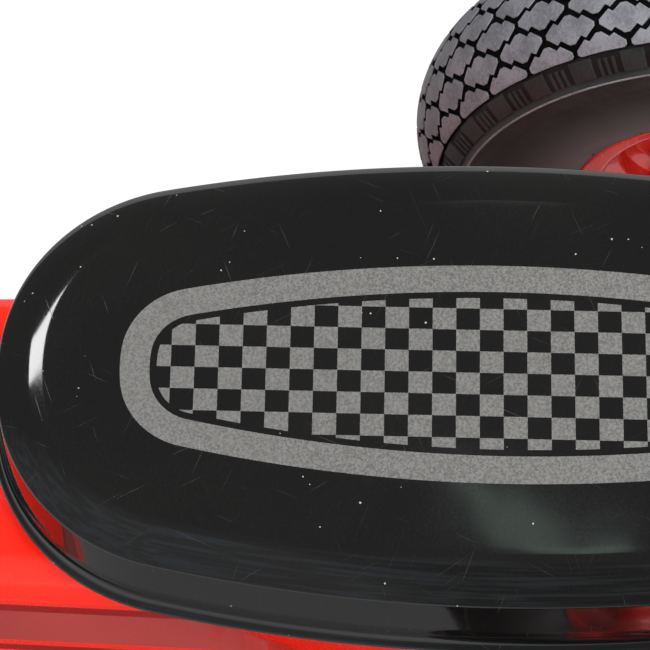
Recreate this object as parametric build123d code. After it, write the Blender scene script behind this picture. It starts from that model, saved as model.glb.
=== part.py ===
from build123d import *
import math
import os

# Front end of a small kart: the nose, its cover, the front axle and both front wheels.
# Millimetres. +Z is up, -Y is ahead, +X is the kart's left.
# The origin is on the rear face of the flange that bolts to the kart's frame, at hub height.

# Stance
AXLE_AHEAD = 260.0
HALF_TRACK = 205.0

# Tyre
TYRE_RADIUS = 130.0
TYRE_HALF_WIDTH = 42.0
TYRE_WIDEST_SHARE = 0.385
TYRE_WALL_THICKNESS = 6.3
TYRE_CROWN_THICKNESS = 9.0
BEAD_TOE_X = 19.0
BEAD_SEAT_RADIUS = 50.8
BEAD_GAP = 0.2
HEEL_BEVEL = 2.0

# Rim, two pressed halves
RIM_SHEET = 2.0
RIM_FLANGE_RADIUS = 60.5
RIM_HALF_WIDTH = 31.5
RIM_FLANGE_X = 28.0
RIM_SEAT_START = 19.0
RIM_WELL_RADIUS = 41.0
RIM_WELL_START = 6.0
RIM_WELL_END = 14.0
RIM_DISC_RADIUS = 36.0
RIM_BEND_RADIUS = 2.2
RIM_BOLT_CIRCLE_RADIUS = 28.0
RIM_BOLT_COUNT = 4
RIM_BOLT_HOLE_RADIUS = 3.3

# Valve
VALVE_RADIUS = 3.5
VALVE_START = 9.5
VALVE_LENGTH = 16.5
VALVE_TIP_RADIUS = 2.5
VALVE_TIP_LENGTH = 6.0
VALVE_PLACE_RADIUS = 46.8
VALVE_FOOT_RADIUS = 4.2
VALVE_FOOT_THICKNESS = 2.0
VALVE_CLEARANCE = 0.05
VALVE_ANGLE = 35.0

# Hub and bearings
HUB_LENGTH = 56.0
HUB_RADIUS = 19.0
BEARING_RADIUS = 16.0
BEARING_WIDTH = 10.0
BEARING_SEAL_DEPTH = 0.6
BEARING_RING = 3.0
HUB_BORE_STEP = 2.0

# Stub axle
STUB_RADIUS = 8.0
STUB_CLEARANCE = 0.05
STUB_END_PAST_NUT = 3.0
COLLAR_RADIUS = 11.5
FACE_GAP = 0.3
WASHER_RADIUS = 14.0
WASHER_THICKNESS = 2.5
WHEEL_NUT_FLATS = 24.0
WHEEL_NUT_HEIGHT = 9.0

# King pin and knuckle
KING_PIN_X = 138.0
KING_PIN_RADIUS = 6.0
KING_PIN_CLEARANCE = 0.05
KING_PIN_HEAD_FLATS = 19.0
KING_PIN_HEAD_HEIGHT = 7.5
KING_PIN_NUT_HEIGHT = 10.0
KING_PIN_THREAD_PAST_NUT = 3.0
SLEEVE_RADIUS = 13.0
SLEEVE_HEIGHT = 46.0
NUT_CLEARANCE = 0.03

# Yoke, a bent bracket on each end of the axle beam
YOKE_PLATE = 6.0
YOKE_HALF_WIDTH = 16.0
YOKE_WEB_TO_PIN = 20.0
YOKE_BEND_RADIUS = 8.0

# Steering arm and track rod
ARM_LENGTH = 62.0
ARM_TIP_LENGTH = 84.0
ARM_ROOT_HALF_WIDTH = 12.0
ARM_EYE_RADIUS = 9.5
ARM_THICKNESS = 8.0
ARM_TOP = -2.0
DRAG_LINK_HOLE_RADIUS = 4.0
ROD_PIN_RADIUS = 4.0
ROD_PIN_CLEARANCE = 0.05
ROD_PIN_HEAD_FLATS = 13.0
ROD_PIN_HEAD_HEIGHT = 5.0
ROD_PIN_NUT_HEIGHT = 6.5
ROD_PIN_THREAD_PAST_NUT = 2.0
ROD_EYE_RADIUS = 9.5
ROD_EYE_THICKNESS = 10.0
ROD_SHANK_RADIUS = 4.0
ROD_SHANK_LENGTH = 40.0
ROD_TUBE_RADIUS = 7.0
ROD_TUBE_BORE_CLEARANCE = 0.03
ROD_SHANK_IN_TUBE = 14.0

# Beams and flange
BEAM_WIDTH = 60.0
BEAM_HEIGHT = 40.0
BEAM_WALL = 2.5
BEAM_CORNER = 5.0
BEAM_BOTTOM = 2.0
BEAM_AHEAD = 560.0
AXLE_TUBE = 30.0
AXLE_TUBE_WALL = 2.5
AXLE_TUBE_CORNER = 4.0
FLANGE_WIDTH = 124.0
FLANGE_HEIGHT = 110.0
FLANGE_THICKNESS = 6.0
FLANGE_CORNER = 10.0
FLANGE_HOLE_SPACING_X = 96.0
FLANGE_HOLE_SPACING_Z = 80.0
FLANGE_HOLE_RADIUS = 4.5
GUSSET_LENGTH = 60.0
GUSSET_THICKNESS = 5.0
GUSSET_DROP = 44.0
CAP_FACE = 4.0
CAP_PLUG_LENGTH = 14.0
CAP_PLUG_WALL = 2.5
CAP_GAP = 0.3

# Plan outline that the cover and the neck share: arcs for the sides, the corners and the ends.
# The side's bow is how far its arc falls in by the outline's ends.
OUTLINE_HALF_LENGTH = 187.0
OUTLINE_HALF_WIDTH = 89.5
OUTLINE_SIDE_BOW = 28.2
OUTLINE_CORNER_RADIUS = 74.0
OUTLINE_END_RADIUS = 110.0
OUTLINE_CENTRE_AHEAD_OF_AXLE = 101.5

# Nose cover, an inverted tray
COVER_HEIGHT = 42.0
COVER_WALL = 3.0
COVER_DRAFT = 2.0
COVER_FILLET = 16.0
LIP_WIDTH = 3.5
LIP_THICKNESS = 3.0
LIP_EDGE_RADIUS = 1.2
BOSS_RADIUS = 5.5
BOSS_X = 52.0
BOSS_Y = 105.0
RIB_THICKNESS = 2.0
RIB_DEPTH = 12.0
RIB_PLACES = (-120.0, -60.0, 0.0, 60.0, 120.0)

# Nose hull, a moulded shell: an oval neck under the cover and a stepped nose ahead of the wheels
DECK_TOP = 135.0
HULL_WALL = 3.0
HULL_DROP = 2.0
DECK_THICKNESS = 3.0
DECK_MARGIN = 3.0
NECK_INSET = 12.0
NECK_BOTTOM = 58.0
NOSE_SECTION_HALF_WIDTH = 91.0
NOSE_TOP = 112.0
# Half of the nose's cross-section where it is measured: half width, height above the hubs
NOSE_SECTION = (
    (0.0, NOSE_TOP),
    (30.0, 111.0),
    (50.0, 108.0),
    (60.0, 104.5),
    (65.5, 101.0),
    (66.2, 97.0),
    (68.0, 95.5),
    (74.6, 82.5),
    (75.2, 78.5),
    (77.0, 77.0),
    (84.0, 58.0),
    (89.0, 34.0),
    (NOSE_SECTION_HALF_WIDTH, 6.0),
    (89.5, -12.0),
    (84.0, -25.0),
    (0.0, -25.0),
)
NOSE_SECTION_AHEAD_OF_AXLE = 231.0
NOSE_TAPER = 0.03
NOSE_REAR_AHEAD_OF_AXLE = 140.0
NOSE_REAR_TOP = 60.0
NOSE_TIP_AHEAD_OF_AXLE = 357.0
NOSE_BOW = 10.0
NOSE_CORNER_RADIUS = 45.0
NOSE_BONNET_START = 52.0
NOSE_BONNET_DROP = 48.0
NOSE_BONNET_RADIUS = 24.0
NOSE_CUT_SLOPE = 0.51

# Brackets between the main beam and the deck
BRACKET_WIDTH = 44.0
BRACKET_SHEET = 3.0
BRACKET_FOOT = 34.0
BRACKET_BEND = 5.0
FRONT_BRACKET_BEHIND_NECK = 11.5
REAR_BRACKET_BEHIND_AXLE = 8.0

# Places worked out from the sizes above
AXLE_Y = -AXLE_AHEAD
OUTLINE_Y = AXLE_Y - OUTLINE_CENTRE_AHEAD_OF_AXLE
COVER_TOP = DECK_TOP + COVER_HEIGHT
BEAM_TOP = BEAM_BOTTOM + BEAM_HEIGHT
BEAM_MIDDLE = BEAM_BOTTOM + BEAM_HEIGHT / 2
ARM_BOTTOM = ARM_TOP - ARM_THICKNESS
ROD_MIDDLE = ARM_BOTTOM - FACE_GAP - ROD_EYE_THICKNESS / 2
LUG_INNER = SLEEVE_HEIGHT / 2 + FACE_GAP
LUG_OUTER = LUG_INNER + YOKE_PLATE
YOKE_WEB_FACE = KING_PIN_X - YOKE_WEB_TO_PIN
YOKE_BACK = YOKE_WEB_FACE - YOKE_PLATE
HUB_INNER_FACE = HALF_TRACK - HUB_LENGTH / 2
HUB_OUTER_FACE = HALF_TRACK + HUB_LENGTH / 2
WASHER_START = HUB_OUTER_FACE + FACE_GAP
NUT_START = WASHER_START + WASHER_THICKNESS
STUB_END = NUT_START + WHEEL_NUT_HEIGHT + STUB_END_PAST_NUT
RIM_TOP_RADIUS = RIM_FLANGE_RADIUS + RIM_SHEET / 2 + BEAD_GAP
TYRE_WIDEST_RADIUS = RIM_TOP_RADIUS + TYRE_WIDEST_SHARE * (TYRE_RADIUS - RIM_TOP_RADIUS)
NECK_FRONT_Y = OUTLINE_Y - OUTLINE_HALF_LENGTH + NECK_INSET + HULL_WALL


def cylinder_x(radius, start, end, y=0.0, z=0.0):
    """A solid cylinder along X from start to end."""
    return Pos(start, y, z) * Rot(0, 90, 0) * Cylinder(
        radius, end - start, align=(Align.CENTER, Align.CENTER, Align.MIN)
    )


def cylinder_z(radius, start, end, x=0.0, y=0.0):
    """A solid cylinder along Z from start to end."""
    return Pos(x, y, start) * Cylinder(
        radius, end - start, align=(Align.CENTER, Align.CENTER, Align.MIN)
    )


def block(x_range, y_range, z_range):
    """A solid block between three ranges."""
    size = [high - low for low, high in (x_range, y_range, z_range)]
    middle = [(high + low) / 2 for low, high in (x_range, y_range, z_range)]
    return Pos(*middle) * Box(*size)


def hexagon_x(flats, start, length):
    """A hexagonal prism along X, a nut or bolt head."""
    outline = Plane.YZ.offset(start) * RegularPolygon(flats / 2, 6, major_radius=False)
    return extrude(outline, length)


def hexagon_z(flats, start, length, x=0.0, y=0.0):
    """A hexagonal prism along Z, a nut or bolt head."""
    outline = Pos(x, y, start) * RegularPolygon(flats / 2, 6, major_radius=False)
    return extrude(outline, length)


def square_tube(width, height, corner, wall, plane, length):
    """A rolled tube of rectangular section, centred on the plane's origin."""
    outside = RectangleRounded(width, height, corner)
    inside = RectangleRounded(width - 2 * wall, height - 2 * wall, corner - wall)
    return extrude(plane * (outside - inside), length)


def outline_face(z, offset=0.0):
    """The plan outline that the cover and the neck share, at height z and moved out by offset."""
    half_length = OUTLINE_HALF_LENGTH + offset
    half_width = OUTLINE_HALF_WIDTH + offset
    side_radius = OUTLINE_HALF_LENGTH**2 / (2 * OUTLINE_SIDE_BOW) + offset
    corner_radius = OUTLINE_CORNER_RADIUS + offset
    end_radius = OUTLINE_END_RADIUS + offset

    # The corner arc touches the side arc and the end arc from inside, which fixes its centre
    side_centre = Vector(half_width - side_radius, 0)
    end_centre = Vector(0, half_length - end_radius)
    to_side = side_radius - corner_radius
    to_end = end_radius - corner_radius
    span = (end_centre - side_centre).length
    along = (to_side**2 - to_end**2 + span**2) / (2 * span)
    across = math.sqrt(to_side**2 - along**2)
    direction = (end_centre - side_centre).normalized()
    sideways = Vector(-direction.Y, direction.X)
    corner_centre = side_centre + direction * along + sideways * across

    side_touch = side_centre + (corner_centre - side_centre).normalized() * side_radius
    end_touch = end_centre + (corner_centre - end_centre).normalized() * end_radius
    outward = (side_touch - corner_centre + end_touch - corner_centre).normalized()
    corner_middle = corner_centre + outward * corner_radius

    side_middle = Vector(half_width, 0)
    side_outward = (side_touch - side_centre).normalized() + Vector(1, 0)
    half_side = side_centre + side_outward.normalized() * side_radius
    tip = Vector(0, half_length)

    def place(point, x_sign, y_sign):
        return (x_sign * point.X, OUTLINE_Y + y_sign * point.Y, z)

    # Each quarter runs from the middle of a side to the tip, and every second one runs back
    edges = []
    for x_sign, y_sign in ((1, 1), (-1, 1), (-1, -1), (1, -1)):
        side = [place(point, x_sign, y_sign) for point in (side_middle, half_side, side_touch)]
        corner = [place(point, x_sign, y_sign) for point in (side_touch, corner_middle, end_touch)]
        end = [
            place(end_touch, x_sign, y_sign),
            place(tip, 0, y_sign),
            place(end_touch, -x_sign, y_sign),
        ]
        if x_sign == y_sign:
            edges += [ThreePointArc(*side), ThreePointArc(*corner), ThreePointArc(*end)]
        else:
            edges += [ThreePointArc(*corner[::-1]), ThreePointArc(*side[::-1])]
    return Face(Wire(edges))


def make_flange():
    """The plate that bolts to the kart's frame, with a gusset up each side of the beam."""
    outline = RectangleRounded(FLANGE_WIDTH, FLANGE_HEIGHT, FLANGE_CORNER)
    for place in GridLocations(FLANGE_HOLE_SPACING_X, FLANGE_HOLE_SPACING_Z, 2, 2):
        outline -= place * Circle(FLANGE_HOLE_RADIUS)
    plate = extrude(Plane.XZ * outline, FLANGE_THICKNESS)
    root = -FLANGE_THICKNESS
    triangle = Polyline(
        (0, root, BEAM_BOTTOM),
        (0, root - GUSSET_LENGTH, BEAM_BOTTOM),
        (0, root, BEAM_BOTTOM - GUSSET_DROP),
        close=True,
    )
    gusset = extrude(make_face(triangle), GUSSET_THICKNESS / 2, dir=(1, 0, 0), both=True)
    return plate + gusset


def make_main_beam():
    """The rectangular tube that carries everything, from the flange to the nose."""
    plane = Plane.XZ.offset(FLANGE_THICKNESS) * Pos(0, BEAM_MIDDLE, 0)
    return square_tube(
        BEAM_WIDTH, BEAM_HEIGHT, BEAM_CORNER, BEAM_WALL, plane, BEAM_AHEAD - FLANGE_THICKNESS
    )


def make_beam_cap():
    """The moulded cap pressed into the beam's open front end."""
    plane = Plane.XZ.offset(BEAM_AHEAD) * Pos(0, BEAM_MIDDLE, 0)
    face = extrude(plane * RectangleRounded(BEAM_WIDTH, BEAM_HEIGHT, BEAM_CORNER), CAP_FACE)
    width = BEAM_WIDTH - 2 * (BEAM_WALL + CAP_GAP)
    height = BEAM_HEIGHT - 2 * (BEAM_WALL + CAP_GAP)
    corner = BEAM_CORNER - BEAM_WALL - CAP_GAP
    ring = RectangleRounded(width, height, corner) - Rectangle(
        width - 2 * CAP_PLUG_WALL, height - 2 * CAP_PLUG_WALL
    )
    return face + extrude(plane * ring, -CAP_PLUG_LENGTH)


def make_axle_beam():
    """The square tube across the kart, welded under the main beam between the two yokes."""
    plane = Plane.YZ.offset(-YOKE_BACK) * Pos(AXLE_Y, BEAM_BOTTOM - AXLE_TUBE / 2, 0)
    return square_tube(
        AXLE_TUBE, AXLE_TUBE, AXLE_TUBE_CORNER, AXLE_TUBE_WALL, plane, 2 * YOKE_BACK
    )


def make_yoke():
    """The left yoke: one bent plate with a lug above and a lug below the knuckle."""
    tip = KING_PIN_X + YOKE_HALF_WIDTH
    outside = FilletPolyline(
        (tip, 0, LUG_OUTER),
        (YOKE_BACK, 0, LUG_OUTER),
        (YOKE_BACK, 0, -LUG_OUTER),
        (tip, 0, -LUG_OUTER),
        radius=YOKE_BEND_RADIUS,
    )
    inside = FilletPolyline(
        (tip, 0, -LUG_INNER),
        (YOKE_WEB_FACE, 0, -LUG_INNER),
        (YOKE_WEB_FACE, 0, LUG_INNER),
        (tip, 0, LUG_INNER),
        radius=YOKE_BEND_RADIUS - YOKE_PLATE,
    )
    profile = make_face(
        outside.edges()
        + inside.edges()
        + [
            Line((tip, 0, -LUG_OUTER), (tip, 0, -LUG_INNER)),
            Line((tip, 0, LUG_INNER), (tip, 0, LUG_OUTER)),
        ]
    )
    bent = extrude(profile, YOKE_HALF_WIDTH, dir=(0, 1, 0), both=True)
    plan = cylinder_z(YOKE_HALF_WIDTH, -LUG_OUTER, LUG_OUTER, KING_PIN_X)
    plan += block((YOKE_BACK, KING_PIN_X), (-YOKE_HALF_WIDTH, YOKE_HALF_WIDTH), (-LUG_OUTER, LUG_OUTER))
    bent = bent & plan
    bore = cylinder_z(KING_PIN_RADIUS + KING_PIN_CLEARANCE, -LUG_OUTER, LUG_OUTER, KING_PIN_X)
    return Pos(0, AXLE_Y, 0) * (bent - bore)


def make_king_pin():
    """The left king pin, a hexagon bolt dropped through the yoke and the knuckle."""
    head = hexagon_z(KING_PIN_HEAD_FLATS, LUG_OUTER, KING_PIN_HEAD_HEIGHT, KING_PIN_X)
    end = LUG_OUTER + KING_PIN_NUT_HEIGHT + KING_PIN_THREAD_PAST_NUT
    shank = cylinder_z(KING_PIN_RADIUS, -end, LUG_OUTER, KING_PIN_X)
    return Pos(0, AXLE_Y, 0) * (head + shank)


def make_king_nut():
    """The nut under the left yoke's lower lug."""
    nut = hexagon_z(
        KING_PIN_HEAD_FLATS, -LUG_OUTER - KING_PIN_NUT_HEIGHT, KING_PIN_NUT_HEIGHT, KING_PIN_X
    )
    bore = cylinder_z(
        KING_PIN_RADIUS + NUT_CLEARANCE, -LUG_OUTER - KING_PIN_NUT_HEIGHT, -LUG_OUTER, KING_PIN_X
    )
    return Pos(0, AXLE_Y, 0) * (nut - bore)


def make_knuckle():
    """The left knuckle: king pin sleeve, stub axle with its collar, and a steering arm."""
    half = SLEEVE_HEIGHT / 2
    sleeve = cylinder_z(SLEEVE_RADIUS, -half, half, KING_PIN_X)
    collar = cylinder_x(COLLAR_RADIUS, KING_PIN_X, HUB_INNER_FACE - FACE_GAP)
    stub = cylinder_x(STUB_RADIUS, KING_PIN_X, STUB_END)
    arm_outline = make_face(
        Polyline(
            (KING_PIN_X - ARM_ROOT_HALF_WIDTH, 0),
            (KING_PIN_X - ARM_EYE_RADIUS, -ARM_LENGTH),
            (KING_PIN_X - ARM_EYE_RADIUS, -ARM_TIP_LENGTH),
            (KING_PIN_X + ARM_EYE_RADIUS, -ARM_TIP_LENGTH),
            (KING_PIN_X + ARM_EYE_RADIUS, -ARM_LENGTH),
            (KING_PIN_X + ARM_ROOT_HALF_WIDTH, 0),
            close=True,
        )
    )
    arm_outline += Pos(KING_PIN_X, -ARM_TIP_LENGTH) * Circle(ARM_EYE_RADIUS)
    arm = extrude(Pos(0, 0, ARM_BOTTOM) * arm_outline, ARM_THICKNESS)
    knuckle = sleeve + collar + stub + arm
    knuckle -= cylinder_z(KING_PIN_RADIUS + KING_PIN_CLEARANCE, -half, half, KING_PIN_X)
    for distance, radius in (
        (ARM_LENGTH, ROD_PIN_RADIUS + NUT_CLEARANCE),
        (ARM_TIP_LENGTH, DRAG_LINK_HOLE_RADIUS),
    ):
        knuckle -= cylinder_z(radius, ARM_BOTTOM, ARM_TOP, KING_PIN_X, -distance)
    return Pos(0, AXLE_Y, 0) * knuckle


def make_rod_pin():
    """The left track rod pin, a bolt down through the steering arm."""
    y = AXLE_Y - ARM_LENGTH
    end = ROD_MIDDLE - ROD_EYE_THICKNESS / 2 - FACE_GAP
    end -= ROD_PIN_NUT_HEIGHT + ROD_PIN_THREAD_PAST_NUT
    head = hexagon_z(ROD_PIN_HEAD_FLATS, ARM_TOP, ROD_PIN_HEAD_HEIGHT, KING_PIN_X, y)
    return head + cylinder_z(ROD_PIN_RADIUS, end, ARM_TOP, KING_PIN_X, y)


def make_rod_nut():
    """The nut that holds the track rod's eye on the left pin."""
    y = AXLE_Y - ARM_LENGTH
    top = ROD_MIDDLE - ROD_EYE_THICKNESS / 2 - FACE_GAP
    nut = hexagon_z(ROD_PIN_HEAD_FLATS, top - ROD_PIN_NUT_HEIGHT, ROD_PIN_NUT_HEIGHT, KING_PIN_X, y)
    return nut - cylinder_z(
        ROD_PIN_RADIUS + NUT_CLEARANCE, top - ROD_PIN_NUT_HEIGHT, top, KING_PIN_X, y
    )


def make_wheel_washer():
    """The left wheel's thrust washer."""
    washer = cylinder_x(WASHER_RADIUS, WASHER_START, NUT_START)
    bore = cylinder_x(STUB_RADIUS + NUT_CLEARANCE, WASHER_START, NUT_START)
    return Pos(0, AXLE_Y, 0) * (washer - bore)


def make_wheel_nut():
    """The nut on the end of the left stub axle."""
    nut = hexagon_x(WHEEL_NUT_FLATS, NUT_START, WHEEL_NUT_HEIGHT)
    bore = cylinder_x(STUB_RADIUS + NUT_CLEARANCE, NUT_START, NUT_START + WHEEL_NUT_HEIGHT)
    return Pos(0, AXLE_Y, 0) * (nut - bore)


def make_rod_end():
    """The left rod end: an eye round the pin and a threaded shank into the tube."""
    y = AXLE_Y - ARM_LENGTH
    low = ROD_MIDDLE - ROD_EYE_THICKNESS / 2
    high = ROD_MIDDLE + ROD_EYE_THICKNESS / 2
    eye = cylinder_z(ROD_EYE_RADIUS, low, high, KING_PIN_X, y)
    shank = cylinder_x(ROD_SHANK_RADIUS, KING_PIN_X - ROD_SHANK_LENGTH, KING_PIN_X, y, ROD_MIDDLE)
    bore = cylinder_z(ROD_PIN_RADIUS + ROD_PIN_CLEARANCE, low, high, KING_PIN_X, y)
    return eye + shank - bore


def make_rod_tube():
    """The track rod's tube, tapped at both ends for the rod ends."""
    y = AXLE_Y - ARM_LENGTH
    end = KING_PIN_X - ROD_SHANK_LENGTH + ROD_SHANK_IN_TUBE
    tube = cylinder_x(ROD_TUBE_RADIUS, -end, end, y, ROD_MIDDLE)
    bore = cylinder_x(ROD_SHANK_RADIUS + ROD_TUBE_BORE_CLEARANCE, -end, end, y, ROD_MIDDLE)
    return tube - bore


def around_wheel(profile):
    """Turn a profile, drawn as (along the axle, radius), into a ring about the left wheel's axle."""
    ring = revolve(profile, Axis.X)
    return Pos(HALF_TRACK, AXLE_Y, 0) * ring


def section_arc(half_width, height, start, end):
    """An arc of the tyre's section between two angles, in degrees up from its widest place."""
    points = []
    for angle in (start, (start + end) / 2, end):
        turn = math.radians(angle)
        points.append((half_width * math.cos(turn), TYRE_WIDEST_RADIUS + height * math.sin(turn)))
    return ThreePointArc(*points)


def make_tyre():
    """The left tyre: a hollow carcass with two beads, open between them."""
    seat = BEAD_SEAT_RADIUS + BEAD_GAP
    heel = RIM_FLANGE_X - RIM_SHEET / 2 - BEAD_GAP
    height = TYRE_RADIUS - TYRE_WIDEST_RADIUS
    foot = -math.degrees(math.asin((TYRE_WIDEST_RADIUS - RIM_TOP_RADIUS) / height))
    cavity_half_width = TYRE_HALF_WIDTH - TYRE_WALL_THICKNESS
    cavity_height = height - TYRE_CROWN_THICKNESS
    cavity_foot = -math.degrees(math.acos(BEAD_TOE_X / cavity_half_width))

    outside = [
        section_arc(TYRE_HALF_WIDTH, height, foot, 0),
        section_arc(TYRE_HALF_WIDTH, height, 0, 90),
        section_arc(TYRE_HALF_WIDTH, height, 90, 180),
        section_arc(TYRE_HALF_WIDTH, height, 180, 180 - foot),
    ]
    cavity = [
        section_arc(cavity_half_width, cavity_height, cavity_foot, 0),
        section_arc(cavity_half_width, cavity_height, 0, 90),
        section_arc(cavity_half_width, cavity_height, 90, 180),
        section_arc(cavity_half_width, cavity_height, 180, 180 - cavity_foot),
    ]
    beads = []
    for side, wall, toe in ((1, outside[0] @ 0, cavity[0] @ 0), (-1, outside[-1] @ 1, cavity[-1] @ 1)):
        beads += Polyline(
            wall,
            (side * heel, RIM_TOP_RADIUS),
            (side * heel, seat + HEEL_BEVEL),
            (side * (heel - HEEL_BEVEL), seat),
            (side * BEAD_TOE_X, seat),
            toe,
        ).edges()
    return around_wheel(make_face(outside + cavity + beads))


def valve_place():
    """The valve's axis, along the axle in the slope between the rim's well and its bead seat."""
    return Rot(VALVE_ANGLE, 0, 0) * Pos(0, 0, VALVE_PLACE_RADIUS)


def make_rim_half(facing):
    """One pressed half of the left rim. facing is 1 for the outer half and -1 for the inner."""
    middle = RIM_SHEET / 2
    path = FilletPolyline(
        (middle, HUB_RADIUS),
        (middle, RIM_DISC_RADIUS),
        (RIM_WELL_START, RIM_WELL_RADIUS),
        (RIM_WELL_END, RIM_WELL_RADIUS),
        (RIM_SEAT_START, BEAD_SEAT_RADIUS - middle),
        (RIM_FLANGE_X, BEAD_SEAT_RADIUS - middle),
        (RIM_FLANGE_X, RIM_FLANGE_RADIUS),
        (RIM_HALF_WIDTH, RIM_FLANGE_RADIUS),
        radius=RIM_BEND_RADIUS,
    )
    sheet = make_face(offset(path, RIM_SHEET / 2, side=Side.BOTH))
    half = revolve(sheet, Axis.X)
    half -= cylinder_x(HUB_RADIUS, -RIM_SHEET, RIM_SHEET * 2)
    for index in range(RIM_BOLT_COUNT):
        angle = math.radians(45 + index * 360 / RIM_BOLT_COUNT)
        y = RIM_BOLT_CIRCLE_RADIUS * math.cos(angle)
        z = RIM_BOLT_CIRCLE_RADIUS * math.sin(angle)
        half -= cylinder_x(RIM_BOLT_HOLE_RADIUS, 0, RIM_SHEET, y, z)
    if facing < 0:
        half = mirror(half, about=Plane.YZ)
    else:
        half -= valve_place() * cylinder_x(VALVE_RADIUS + VALVE_CLEARANCE, 0, RIM_HALF_WIDTH)
    return Pos(HALF_TRACK, AXLE_Y, 0) * half


def make_hub():
    """The left wheel's hub tube, bored at each end for a bearing."""
    half = HUB_LENGTH / 2
    hub = cylinder_x(HUB_RADIUS, -half, half)
    hub -= cylinder_x(BEARING_RADIUS - HUB_BORE_STEP, -half, half)
    for start, end in ((-half, -half + BEARING_WIDTH), (half - BEARING_WIDTH, half)):
        hub -= cylinder_x(BEARING_RADIUS, start, end)
    return Pos(HALF_TRACK, AXLE_Y, 0) * hub


def make_bearing(facing):
    """A sealed ball bearing in the left hub. facing is 1 for the outer one and -1 for the inner."""
    half = HUB_LENGTH / 2
    bearing = cylinder_x(BEARING_RADIUS, half - BEARING_WIDTH, half)
    bearing -= cylinder_x(STUB_RADIUS + STUB_CLEARANCE, half - BEARING_WIDTH, half)
    groove = cylinder_x(BEARING_RADIUS - BEARING_RING, half - BEARING_SEAL_DEPTH, half)
    groove -= cylinder_x(STUB_RADIUS + BEARING_RING, half - BEARING_SEAL_DEPTH, half)
    bearing -= groove
    if facing < 0:
        bearing = mirror(bearing, about=Plane.YZ)
    return Pos(HALF_TRACK, AXLE_Y, 0) * bearing


def make_cover():
    """The nose cover: a drafted tray, open below, with a lip, four bosses and cross ribs."""
    lip_top = DECK_TOP + LIP_THICKNESS
    outside = loft([outline_face(DECK_TOP, COVER_DRAFT), outline_face(COVER_TOP)], ruled=True)
    top_edges = outside.faces().sort_by(Axis.Z)[-1].edges()
    outside = fillet(top_edges, COVER_FILLET)
    ceiling = COVER_TOP - COVER_WALL
    inside = loft(
        [
            outline_face(DECK_TOP, COVER_DRAFT - COVER_WALL),
            outline_face(ceiling, -COVER_WALL),
        ],
        ruled=True,
    )
    top_edges = inside.faces().sort_by(Axis.Z)[-1].edges()
    inside = fillet(top_edges, COVER_FILLET - COVER_WALL)
    lip = extrude(outline_face(DECK_TOP, COVER_DRAFT + LIP_WIDTH), LIP_THICKNESS)
    lip = fillet(lip.edges().filter_by_position(Axis.Z, lip_top - 0.1, lip_top + 0.1), LIP_EDGE_RADIUS)
    cover = outside + lip - inside
    for y in RIB_PLACES:
        rib = block(
            (-OUTLINE_HALF_WIDTH, OUTLINE_HALF_WIDTH),
            (OUTLINE_Y + y - RIB_THICKNESS / 2, OUTLINE_Y + y + RIB_THICKNESS / 2),
            (ceiling - RIB_DEPTH, COVER_TOP - COVER_WALL / 2),
        )
        cover += rib & outside
    for x in (-BOSS_X, BOSS_X):
        for y in (-BOSS_Y, BOSS_Y):
            cover += cylinder_z(BOSS_RADIUS, DECK_TOP, COVER_TOP - COVER_WALL / 2, x, OUTLINE_Y + y)
    return cover


def nose_prism(inset, drop):
    """The nose's cross-section run ahead from its open rear end, a little narrower ahead."""
    run = NOSE_SECTION_AHEAD_OF_AXLE - NOSE_REAR_AHEAD_OF_AXLE
    length = NOSE_TIP_AHEAD_OF_AXLE - NOSE_REAR_AHEAD_OF_AXLE + inset
    rear = AXLE_Y - NOSE_REAR_AHEAD_OF_AXLE + inset
    points = []
    for half_width, height in NOSE_SECTION:
        across = half_width - inset + NOSE_TAPER * (run + inset)
        points.append((across if half_width > 0 else -inset, rear, height - drop))
    section = make_face(Polyline(*points, close=True))
    half = extrude(section, length, dir=(-NOSE_TAPER, -1, 0))
    return half + mirror(half, about=Plane.YZ)


def nose_front(inset, drop):
    """The space that the nose's rounded front fills, seen from above and from the side."""
    tip = AXLE_Y - NOSE_TIP_AHEAD_OF_AXLE + inset
    corner = tip + NOSE_BOW
    wide = 2 * OUTLINE_HALF_WIDTH
    half_width = NOSE_SECTION_HALF_WIDTH - inset
    bottom = -DECK_TOP
    plan = FilletPolyline(
        (wide, AXLE_Y, bottom),
        (half_width, AXLE_Y - NOSE_REAR_AHEAD_OF_AXLE, bottom),
        (half_width, corner, bottom),
        (0, tip, bottom),
        (-half_width, corner, bottom),
        (-half_width, AXLE_Y - NOSE_REAR_AHEAD_OF_AXLE, bottom),
        (-wide, AXLE_Y, bottom),
        radius=NOSE_CORNER_RADIUS - inset,
        close=True,
    )
    from_above = extrude(make_face(plan), 2 * DECK_TOP, dir=(0, 0, 1))

    top = NOSE_TOP - drop
    side = FilletPolyline(
        (0, AXLE_Y, top),
        (0, tip + NOSE_BONNET_START, top),
        (0, tip, top - NOSE_BONNET_DROP),
        (0, tip, bottom),
        (0, AXLE_Y, bottom),
        radius=NOSE_BONNET_RADIUS - inset,
        close=True,
    )
    from_side = extrude(make_face(side), wide, dir=(1, 0, 0), both=True)
    return from_above & from_side


def nose_cut(inset):
    """The side view that the nose keeps: its top edge falls to the rear, clear of the steering."""
    rear = AXLE_Y - NOSE_REAR_AHEAD_OF_AXLE + inset
    rear_top = NOSE_REAR_TOP - inset * math.hypot(1, NOSE_CUT_SLOPE) - inset * NOSE_CUT_SLOPE
    rise = DECK_TOP - rear_top
    ahead = AXLE_Y - 2 * NOSE_TIP_AHEAD_OF_AXLE
    kept = Polyline(
        (0, rear, -DECK_TOP),
        (0, rear, rear_top),
        (0, rear - rise / NOSE_CUT_SLOPE, DECK_TOP),
        (0, ahead, DECK_TOP),
        (0, ahead, -DECK_TOP),
        close=True,
    )
    return extrude(make_face(kept), 2 * OUTLINE_HALF_WIDTH, dir=(1, 0, 0), both=True)


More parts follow.
